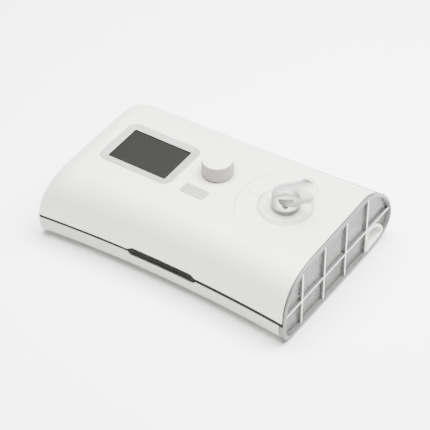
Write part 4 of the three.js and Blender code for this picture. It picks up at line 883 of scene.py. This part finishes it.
def web_hole():
    rounding = WEB_HOLE / 4
    outline = []
    for i in range(3):
        middle = math.pi + i * 2 * math.pi / 3
        for j in range(9):
            angle = middle + (j / 8 - 0.5) * 2 * math.pi / 3
            outline.append(((WEB_HOLE - rounding) * math.cos(middle) + rounding * math.cos(angle),
                            (WEB_HOLE - rounding) * math.sin(middle) + rounding * math.sin(angle)))
    return stacked("tool", [[(a, b, z) for a, b in outline] for z in (-PAST, PAST * 2)])


def outlet_port():
    low, high = SEAL_Z - GAP, SEAL_Z + SEAL_THICK + GAP
    flange, groove = PORT_RADIUS + PORT_FLANGE, PORT_RADIUS - SEAL_DEPTH - GAP
    profile = [(PORT_BORE, PORT_FOOT), (flange, PORT_FOOT), (flange, FLANGE_TOP), (PORT_RADIUS, FLANGE_TOP),
               (PORT_RADIUS, low), (groove, low), (groove, high), (PORT_RADIUS, high),
               (PORT_RADIUS, PORT_RISE - COLLAR_EDGE), (PORT_RADIUS - COLLAR_EDGE, PORT_RISE),
               (PORT_BORE + COLLAR_EDGE, PORT_RISE), (PORT_BORE, PORT_RISE - COLLAR_EDGE)]
    made = turned("outlet_collar", profile, closed=True)
    web = carve(drum(PORT_BORE + GAP, (WEB_FOOT, WEB_TOP)), web_hole())
    add(made, web)
    on_deck(made, OUTLET_X, OUTLET_Y)
    return finished(made, white_shell, "machine", "outlet_port", slot="white_shell")


def port_seal():
    inner, edge, top = PORT_RADIUS - SEAL_DEPTH, PORT_RADIUS - SEAL_EDGE, SEAL_Z + SEAL_THICK
    middle = SEAL_Z + SEAL_THICK / 2
    profile = [(inner, SEAL_Z), (edge, SEAL_Z), (PORT_RADIUS, middle), (edge, top), (inner, top)]
    made = turned("outlet_seal_ring", profile, closed=True)
    return finished(on_deck(made, OUTLET_X, OUTLET_Y), soft_seal, "machine", "port_seal", slot="soft_seal")


outlet_port()
port_seal()

# %% [markdown]
# The elbow
#
# The clear elbow turns on the collar. It has a flat flange with a rim and six ribs, and a tube that
# rises from a barrel over the collar and turns to its mouth. A swept tube would be simpler, but
# real elbows of this kind are moulded round two straight core pins that meet in a mitre, so the
# corner is drawn that way here, with a soft edge.

# %% Elbow
FLANGE_RADIUS, FLANGE_THICK, RIM_RISE, RIM_THICK = 27.0, 1.5, 3.0, 1.4
BARREL_RADIUS, CORNER_RADIUS, CORNER_REACH, CORNER_STEPS = 14.8, 13.4, 3.0, 7
RIBS, RIB_THICK = 6, 1.6
HOSE_RADIUS, HOSE_WALL, HOSE_RISE = 11.2, 1.8, math.radians(35)
HOSE_CROSS, HOSE_REACH, MOUTH_RADIUS, MOUTH_LENGTH = 14.1, 26.2, 12.3, 2.6
HOSE_SIDES = 96
RIM_SOFT, FOOT_SOFT, BARREL_SOFT, BARREL_ROOT, JOINED = 0.4, 0.3, 0.6, 0.1, 0.5
BEAD_RUN, BEAD_ROOT, BEAD_EDGE, BEAD_ROUND, LIP_ROUND, LIP_OPEN = 0.8, 0.2, 0.3, 0.4, 0.1, 0.5


def across_hose(radius, along):
    """Ring round the tube, at a distance along it from the foot of its slope."""
    ring = []
    for j in range(HOSE_SIDES):
        angle = 2 * math.pi * j / HOSE_SIDES
        side, up = radius * math.cos(angle), radius * math.sin(angle)
        ring.append(Vector((along * math.cos(HOSE_RISE) - up * math.sin(HOSE_RISE), side,
                            HOSE_CROSS + along * math.sin(HOSE_RISE) + up * math.cos(HOSE_RISE))))
    return ring


def elbow_tube(inset, foot, past):
    """The tube drawn in by inset: up from foot, round its mitred corner, and out past its lip."""
    barrel, corner, tube = BARREL_RADIUS - inset, CORNER_RADIUS - inset, HOSE_RADIUS - inset
    lift = tube / math.cos(HOSE_RISE) - corner * math.tan(HOSE_RISE)
    mouth = across_hose(tube, HOSE_REACH / math.cos(HOSE_RISE) + past)
    lines = []
    for j, high in enumerate(mouth):
        angle = 2 * math.pi * j / HOSE_SIDES
        side, up = math.cos(angle), math.sin(angle)
        low = Vector((-barrel * up, barrel * side, foot))
        middle = Vector((-corner * up, corner * side, HOSE_CROSS + lift * up))
        before, after = (middle + (end - middle).normalized() * CORNER_REACH for end in (low, high))
        shares = [i / CORNER_STEPS for i in range(CORNER_STEPS + 1)]
        bend = [before * (1 - t) ** 2 + middle * (2 * t * (1 - t)) + after * t ** 2 for t in shares]
        lines.append([low, *bend, high])
    return stacked("tool", [list(ring) for ring in zip(*lines)])


def mouth_bead():
    lip = HOSE_REACH / math.cos(HOSE_RISE)
    levels = ((-MOUTH_LENGTH - BEAD_RUN, HOSE_RADIUS - BEAD_ROOT), (-MOUTH_LENGTH, MOUTH_RADIUS - BEAD_EDGE),
              (-MOUTH_LENGTH + BEAD_ROUND, MOUTH_RADIUS), (-BEAD_ROUND, MOUTH_RADIUS),
              (-LIP_ROUND, MOUTH_RADIUS - BEAD_ROOT), (0, MOUTH_RADIUS - LIP_OPEN))
    return stacked("tool", [across_hose(radius, lip + back) for back, radius in levels])


def elbow():
    flange_top, rim_top = GAP + FLANGE_THICK, GAP + RIM_RISE
    inner = FLANGE_RADIUS - RIM_THICK
    profile = [(0, GAP), (FLANGE_RADIUS - FOOT_SOFT, GAP), (FLANGE_RADIUS, GAP + FOOT_SOFT),
               (FLANGE_RADIUS, rim_top - RIM_SOFT), (FLANGE_RADIUS - RIM_SOFT, rim_top),
               (inner + RIM_SOFT, rim_top), (inner, rim_top - RIM_SOFT),
               (inner - FOOT_SOFT, flange_top), (BARREL_RADIUS + BARREL_SOFT, flange_top),
               (BARREL_RADIUS - BARREL_ROOT, flange_top + BARREL_SOFT), (0, flange_top + BARREL_SOFT)]
    made = turned("clear_elbow", profile, sides=128)
    ribs = []
    for i in range(RIBS):
        rib = box_of((PORT_RADIUS + JOINED, inner + FOOT_SOFT), around(0, RIB_THICK),
                     (flange_top - JOINED, rim_top))
        rib.data.transform(Matrix.Rotation(i / RIBS * 2 * math.pi, 4, "Z"))
        ribs.append(rib)
    add(made, *ribs, elbow_tube(0, GAP, 0), mouth_bead())
    well = turned("tool", [(PORT_RADIUS + GAP, -PAST), (PORT_RADIUS + GAP, PORT_RISE + GAP)])
    carve(made, elbow_tube(HOSE_WALL, PORT_RISE, PAST), well)
    on_deck(made, OUTLET_X, OUTLET_Y)
    return finished(made, clear_elbow, "elbow", "outlet_elbow", slot="clear_plastic")


elbow()

# %% [markdown]
# The printed arc
#
# Beside the elbow the deck has a thin arc with a short tick. It could be painted into the cover's
# finish, but a strip a twentieth of a millimetre high keeps its edges sharp at any size.

# %% Printed arc and tick
ARC_RADIUS, ARC_HALF, ARC_WIDTH, PRINT_HIGH = 49.3, math.radians(41), 0.65, 0.05
TICK, PRINT_LOW, ARC_STEPS = (-44.6, -30.8), 0.005, 48


def printed_strip(name, spots, width):
    half = width / 2
    edge = ((-half, PRINT_LOW), (half, PRINT_LOW), (half, PRINT_HIGH), (-half, PRINT_HIGH))
    rings = [[(x - dy * side, y + dx * side, z) for side, z in edge] for (x, y), (dx, dy) in spots]
    made = stacked(name, rings)
    return finished(on_deck(made, OUTLET_X, OUTLET_Y), printed_grey, "machine", slot="grey_trim")


arc = []
for step in range(ARC_STEPS + 1):
    angle = math.pi + ARC_HALF * (1 - 2 * step / ARC_STEPS)
    spot = (ARC_RADIUS * math.cos(angle), ARC_RADIUS * math.sin(angle))
    arc.append((spot, (math.sin(angle), -math.cos(angle))))
printed_strip("printed_arc", arc, ARC_WIDTH)
printed_strip("printed_tick", [((x, 0), (1, 0)) for x in TICK], ARC_WIDTH)

# %% [markdown]
# The water tank
#
# The tank is clear all over. Its tub ends in the machine's right face: a rim that carries on the
# case's outline, and cells between one long shelf and four ribs. Fingers pull it by a D-shaped recess.
# One thin skin would do for the look of a single wall. But what lies behind a wall shows through it, so
# walls, ribs and cells are cut as solids of true thickness.

# %% Tank tub
TANK_INSET, TANK_LEFT, TANK_WALL, TUB_RIM = 3.7, 42.5, 2.0, 32.6
END_WALL, FRAME_LEFT, PLUG_INSET = (138.8, 141.5), 141.8, 2.9
RIM_LEFT, SKIRT_LEFT, FACE_EDGE, POCKET_INSET, RIM_INSET, STEP_DEPTH = 143.4, 139.7, 1.2, 4.4, 3.2, 2.0
END_RIBS, END_RIB_THICK, END_RIB_SPACING, END_RIB_SHIFT, END_SHELF = 4, 2.0, 40.0, -7.5, 33.2
RIB_FRONT = 144.5
GRIP_Y, GRIP_FOOT, GRIP_TOP, GRIP_REACH, GRIP_CORNER = 55.6, 3.0, 29.0, 30.0, 3.0
GRIP_DEPTH, GRIP_WALL = 14.0, 1.6
GROOVE_SINK, GROOVE_END, GROOVE_OUT = 0.9, 0.7, 0.9
GASKET_INSET, GASKET_FIT, FRONT_SLANT, FRONT_NEAR = 0.5, 0.05, 0.9, 0.05
HEATER_X, HEATER_Y, PLATE_RADIUS = 92.0, -6.0, 30.0


def rim_stack(name="tool"):
    rings = [(RIM_LEFT, GROOVE_SINK), (RIM_LEFT + GROOVE_END, GROOVE_SINK), (RIM_LEFT + GROOVE_OUT, 0)]
    for i in range(7):
        angle = i / 6 * math.pi / 2
        rings.append((TANK_FACE - FACE_EDGE + FACE_EDGE * math.sin(angle), FACE_EDGE * (1 - math.cos(angle))))
    return stacked(name, [case_ring(x, inset) for x, inset in rings])


def grip_outline(grow, steps=16):
    """A quarter of an ellipse with rounded corners, grown by grow."""
    reach, height = GRIP_REACH - 2 * GRIP_CORNER, GRIP_TOP - GRIP_FOOT - 2 * GRIP_CORNER
    core = [(0.0, 0.0)]
    for i in range(steps + 1):
        angle = i / steps * math.pi / 2
        core.append((reach * math.cos(angle), height * math.sin(angle)))
    facing = []
    for (a, b), (c, d) in zip(core, core[1:] + core[:1]):
        facing.append(math.atan2(d - b, c - a) - math.pi / 2)
    outline = []
    for (a, b), before, after in zip(core, facing[-1:] + facing[:-1], facing):
        sweep = (after - before) % (2 * math.pi)
        count = max(round(sweep / math.radians(12)), 1)
        for k in range(count + 1):
            angle = before + sweep * k / count
            outline.append((GRIP_Y + GRIP_CORNER + a + (GRIP_CORNER + grow) * math.cos(angle),
                            GRIP_FOOT + GRIP_CORNER + b + (GRIP_CORNER + grow) * math.sin(angle)))
    return outline


def layer(inset, right, left, z):
    made = case_form(inset, right, left)
    return boolean(made, box_of((TANK_LEFT - PAST, TANK_FACE + PAST), (-FAR, FAR), z), "INTERSECT")


def end_cells():
    cells = case_form(POCKET_INSET, TANK_FACE + PAST, FRAME_LEFT - PAST)
    add(cells, case_form(RIM_INSET, TANK_FACE + PAST, TANK_FACE - STEP_DEPTH))
    span = (TANK_LEFT, RIB_FRONT)
    ribs = [box_of(span, (-FAR, FAR), around(END_SHELF, END_RIB_THICK))]
    for i in range(END_RIBS):
        y = END_RIB_SHIFT + (i - (END_RIBS - 1) / 2) * END_RIB_SPACING
        ribs.append(box_of(span, around(y, END_RIB_THICK), (-PAST, FAR)))
    return carve(cells, *ribs)


def grip_form(grow, inset, left, right):
    return boolean(slab(grip_outline(grow), (left, right), "X"), case_form(inset, right, left), "INTERSECT")


def tank_tub():
    made = layer(TANK_INSET, END_WALL[1], TANK_LEFT, (TANK_FLOOR, TUB_RIM))
    made.name = "tank_tub_clear"
    add(made, case_form(PLUG_INSET, END_WALL[1], END_WALL[0]))
    hollow = (TANK_FLOOR + TANK_WALL, FAR)
    carve(made, layer(TANK_INSET + TANK_WALL, PLUG_LEFT, TANK_LEFT + TANK_WALL, hollow))
    add(made, grip_form(GRIP_WALL, PLUG_INSET, TANK_FACE - GRIP_DEPTH - GRIP_WALL, TANK_FACE - FACE_EDGE))
    carve(made, grip_form(0, PLUG_INSET + GRIP_WALL, TANK_FACE - GRIP_DEPTH, TANK_FACE + PAST))
    carve(made, drum(PLATE_RADIUS + GAP, (-PAST, TUB_RIM), HEATER_X, HEATER_Y))
    # The tub's tint is darker than the clear plastic, which is painted shade.
    finished(made, clear_tank_painted_shade, "water_tank", "tank_tub", slot="clear_plastic")
    # The finger recess gets a pale opaque finish, which is painted light over the shade in the recess.
    made.data.materials.append(painted_light_white)
    for face in made.data.polygons:
        x, y, z = face.center / MM
        if x > TANK_FACE - GRIP_DEPTH - GAP and y > GRIP_Y - GAP and z < END_SHELF:
            face.material_index = 1
    return made


def end_skirt():
    """The part of the frame that wraps round the end below the seam."""
    made = stacked("tool", [case_ring(x, inset) for x, inset in
                            ((SKIRT_LEFT, GAP), (SKIRT_LEFT + GAP, 0), (RIM_LEFT + FACE_EDGE, 0))])
    carve(made, case_form(PLUG_INSET - GAP, FRAME_LEFT, SKIRT_LEFT - PAST), wide_seam())
    return boolean(made, below_seam(), "INTERSECT")


def tank_end_frame():
    made = rim_stack("tank_end_frame_clear")
    add(made, case_form(PLUG_INSET, RIM_LEFT + FACE_EDGE, FRAME_LEFT), end_skirt())
    carve(made, end_cells())
    carve(made, grip_form(GRIP_WALL + GAP, PLUG_INSET - GAP, SKIRT_LEFT - PAST, TANK_FACE + PAST))
    # The frame's tint is darker than the clear plastic, which is painted shade.
    finished(made, clear_frame_painted_shade, "water_tank", "tank_end_frame", slot="clear_plastic")
    # The ribs' front faces get a pale opaque finish, which is painted light where light falls on them.
    made.data.materials.append(painted_light_white)
    for face in made.data.polygons:
        if face.normal.x > FRONT_SLANT and abs(face.center.x / MM - RIB_FRONT) < FRONT_NEAR:
            face.material_index = 1
    return made


def gasket_band(name, left, right):
    places = (left + GASKET_FIT, right - GASKET_FIT)
    return stacked(name, [case_ring(x, GASKET_INSET) for x in places])


def end_gasket():
    """A thin dark lip that closes the joint between the case and the tank's end."""
    upper = carve(gasket_band("tool", SHELL_RIGHT, RIM_LEFT), below_seam())
    lower = carve(gasket_band("tank_end_gasket", BASE_RIGHT, SKIRT_LEFT), above_seam())
    add(lower, upper)
    carve(lower, case_form(PLUG_INSET - GAP, TANK_FACE, BASE_RIGHT - PAST))
    return finished(lower, dark_trim, "machine", slot="dark_trim")


tank_tub()
tank_end_frame()
end_gasket()

# %% [markdown]
# The tank's lid
#
# The lid is a second clear box that closes the tub, with two openings for the air at its left. It could
# be a copy of the tub turned over. But it follows the case at its own heights, so it is cut from the
# case's form, as the tub is. A thin soft ring lies between the two.

# %% Tank lid and seal
LID_FOOT, LID_TOP, LID_RIGHT = 33.9, 56.0, 138.5
LID_SEAL = (32.9, 33.6)


def tank_lid():
    made = layer(TANK_INSET, LID_RIGHT, TANK_LEFT, (LID_FOOT, LID_TOP))
    made.name = "tank_lid_clear"
    inside = TANK_LEFT + TANK_WALL
    carve(made, layer(TANK_INSET + TANK_WALL, LID_RIGHT - TANK_WALL, inside, (-PAST, LID_TOP - TANK_WALL)))
    carve(made, *[air_opening(around(TANK_LEFT, 4 * TANK_WALL), y, width) for y, width in DUCTS])
    # The lid's tint is darker than the clear plastic, which is painted shade.
    return finished(made, clear_tank_painted_shade, "water_tank", "tank_lid", slot="clear_plastic")


def tank_seal():
    made = layer(TANK_INSET, LID_RIGHT, TANK_LEFT, LID_SEAL)
    made.name = "tank_seal_ring"
    carve(made, case_form(TANK_INSET + TANK_WALL, LID_RIGHT - TANK_WALL, TANK_LEFT + TANK_WALL))
    return finished(made, soft_seal, "water_tank", "tank_seal", slot="soft_seal")


tank_lid()
tank_seal()

# %% [markdown]
# Round plates, feet and the jack
#
# These are small turned parts. They could stay as plain cylinders, but their edges would look sharp
# from close by. So each is one profile with a softened edge, turned round its axis.

# %% Turned small parts
PLATE_FLANGE, PLATE_FOOT, PLATE_STEP, PLATE_TOP, PLATE_CHAMFER = 33.5, 8.2, 10.9, 12.4, 0.4
HEATER_RADIUS, HEATER_FOOT, HEATER_TOP, MOUNT_RADIUS = 31.0, 6.6, 7.9, 33.0
MOUNT_FOOT, MOUNT_TOP = 4.3, 6.3
EDGE, FOOT_EDGE = 0.2, 0.6
JACK_BORE, JACK_RISE, JACK_BACK, JACK_COLLAR, COLLAR_THICK = 3.2, 5.5, 9.0, 2.0, 1.5
JACK_EDGE, JACK_SOFT, PIN_RADIUS, PIN_TIP, PIN_SINK, PIN_CONE = 0.3, 0.4, 1.0, 0.6, 1.0, 0.5


def disc(name, node, material, body, slot, levels, x, y):
    profile = [(0, levels[0][1])] + levels + [(0, levels[-1][1])]
    return finished(turned(name, profile, x, y), material, body, node, slot=slot)


disc("heat_plate_round", "tank_heat_plate", steel, "water_tank", "steel",
     [(PLATE_RADIUS - PLATE_CHAMFER, PLATE_FOOT), (PLATE_RADIUS, PLATE_FOOT + PLATE_CHAMFER),
      (PLATE_RADIUS, PLATE_STEP), (PLATE_FLANGE, PLATE_STEP), (PLATE_FLANGE, PLATE_TOP - EDGE),
      (PLATE_FLANGE - EDGE, PLATE_TOP)], HEATER_X, HEATER_Y)
disc("heater_plate_round", "heater_plate", aluminium, "machine", "aluminium",
     [(HEATER_RADIUS - EDGE, HEATER_FOOT), (HEATER_RADIUS, HEATER_FOOT + EDGE),
      (HEATER_RADIUS, HEATER_TOP - EDGE), (HEATER_RADIUS - EDGE, HEATER_TOP)], HEATER_X, HEATER_Y)
disc("heater_mount_round", "heater_mount", inner_plastic, "machine", "inner_plastic",
     [(MOUNT_RADIUS, MOUNT_FOOT), (MOUNT_RADIUS, MOUNT_TOP)], HEATER_X, HEATER_Y)
for number, (x, y) in enumerate(FEET, 1):
    disc(f"rubber_foot_{number}", f"foot_{number}", foot_rubber, "machine", "foot_rubber",
         [(FOOT_RADIUS - FOOT_EDGE, 0), (FOOT_RADIUS, FOOT_EDGE), (FOOT_RADIUS, FOOT_THICK)], x, y)


def power_jack():
    face, back = NICHE_FLOOR + GAP, NICHE_FLOOR - JACK_BACK
    top, rim, collar, floor = face + JACK_RISE, face + COLLAR_THICK, JACK_RADIUS + JACK_COLLAR, back + WALL
    tip = top - PIN_SINK
    profile = [(0, back), (JACK_RADIUS, back), (JACK_RADIUS, face), (collar, face),
               (collar, rim - JACK_EDGE), (collar - JACK_EDGE, rim), (JACK_RADIUS, rim),
               (JACK_RADIUS, top - JACK_SOFT), (JACK_RADIUS - JACK_SOFT, top), (JACK_BORE + JACK_EDGE, top),
               (JACK_BORE, top - JACK_EDGE), (JACK_BORE, floor), (PIN_RADIUS, floor),
               (PIN_RADIUS, tip - PIN_CONE), (PIN_TIP, tip), (0, tip)]
    made = turned("power_jack", profile, JACK_X, JACK_Z, "Y", 64)
    return finished(made, black_plastic, "machine", "power_inlet", slot="black_plastic")


power_jack()

# %% [markdown]
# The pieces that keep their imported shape
#
# The boards, the blower and the ducts lie inside the closed case, and the filter's cover, the card and the
# screws are right as they are. They keep their solids and only get their finishes.

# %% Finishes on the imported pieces
kept = {
    "lcd_module": black_plastic, "display_board": board_green, "encoder_shaft": steel,
    "encoder_plunger": black_plastic, "encoder_body": black_plastic, "key_switch": black_plastic,
    "blower_duct": soft_seal, "outlet_duct": inner_plastic, "tank_inlet_seal": soft_seal,
    "tank_outlet_seal": soft_seal, "blower_housing": inner_plastic, "blower_cover": inner_plastic,
    "impeller": inner_plastic, "blower_spindle": steel, "blower_motor": steel, "blower_mount": soft_seal,
    "main_board": board_green, "card_reader": steel, "memory_card": black_plastic,
    "ribbon_cable": cable_grey_and_bezel_shade, "inlet_filter": felt, "filter_cover": white_shell,
    "case_screw_1": steel, "case_screw_2": steel, "case_screw_3": steel, "case_screw_4": steel,
}
for name, material in kept.items():
    mesh = nodes[name].data
    mesh.materials.clear()
    mesh.materials.append(material)
print("packed pieces with a new finish:", len(kept))

# %% [markdown]
# Floor and light
#
# The photograph has a pure white ground and very soft light, brightest from above and behind on the
# right. A large plain floor and an even sky give the ground, and big area lights shape the case. A
# weak low light in front, whose lower part is below the floor, lifts the base. A lit studio with walls
# could stand round the case instead, but it has more to place and to keep out of view.

# %% Floor and light
FLOOR_HALF = 6.0


def area_light(name, place, aim, size, power):
    data = bpy.data.lights.new(name, "AREA")
    data.size = size
    data.energy = power
    light = bpy.data.objects.new(name, data)
    bpy.context.scene.collection.objects.link(light)
    light.location = place
    light.rotation_euler = (Vector(aim) - Vector(place)).to_track_quat("-Z", "Y").to_euler()


floor = object_of("studio_floor", [(sx * FLOOR_HALF / MM, sy * FLOOR_HALF / MM, 0) for sx, sy in
                                   ((-1, -1), (1, -1), (1, 1), (-1, 1))], [(0, 1, 2, 3)])
floor.data.materials.append(moulded("studio_white", (0.97, 0.97, 0.965), 0.9, tint=0.995))
sky = bpy.data.worlds.new("studio_sky")
bpy.context.scene.world = sky
sky.use_nodes = True
sky.node_tree.nodes["Background"].inputs["Color"].default_value = (1, 1, 1, 1)
sky.node_tree.nodes["Background"].inputs["Strength"].default_value = 0.18
area_light("key_light", (-0.05, 0.12, 1.25), (0, 0, 0.04), 1.1, 100)
area_light("low_fill", (0.3, -0.9, 0.08), (0, 0, 0.02), 0.7, 7)
area_light("rim_light", (0.55, 0.5, 1.1), (0, 0, 0.04), 0.7, 42)
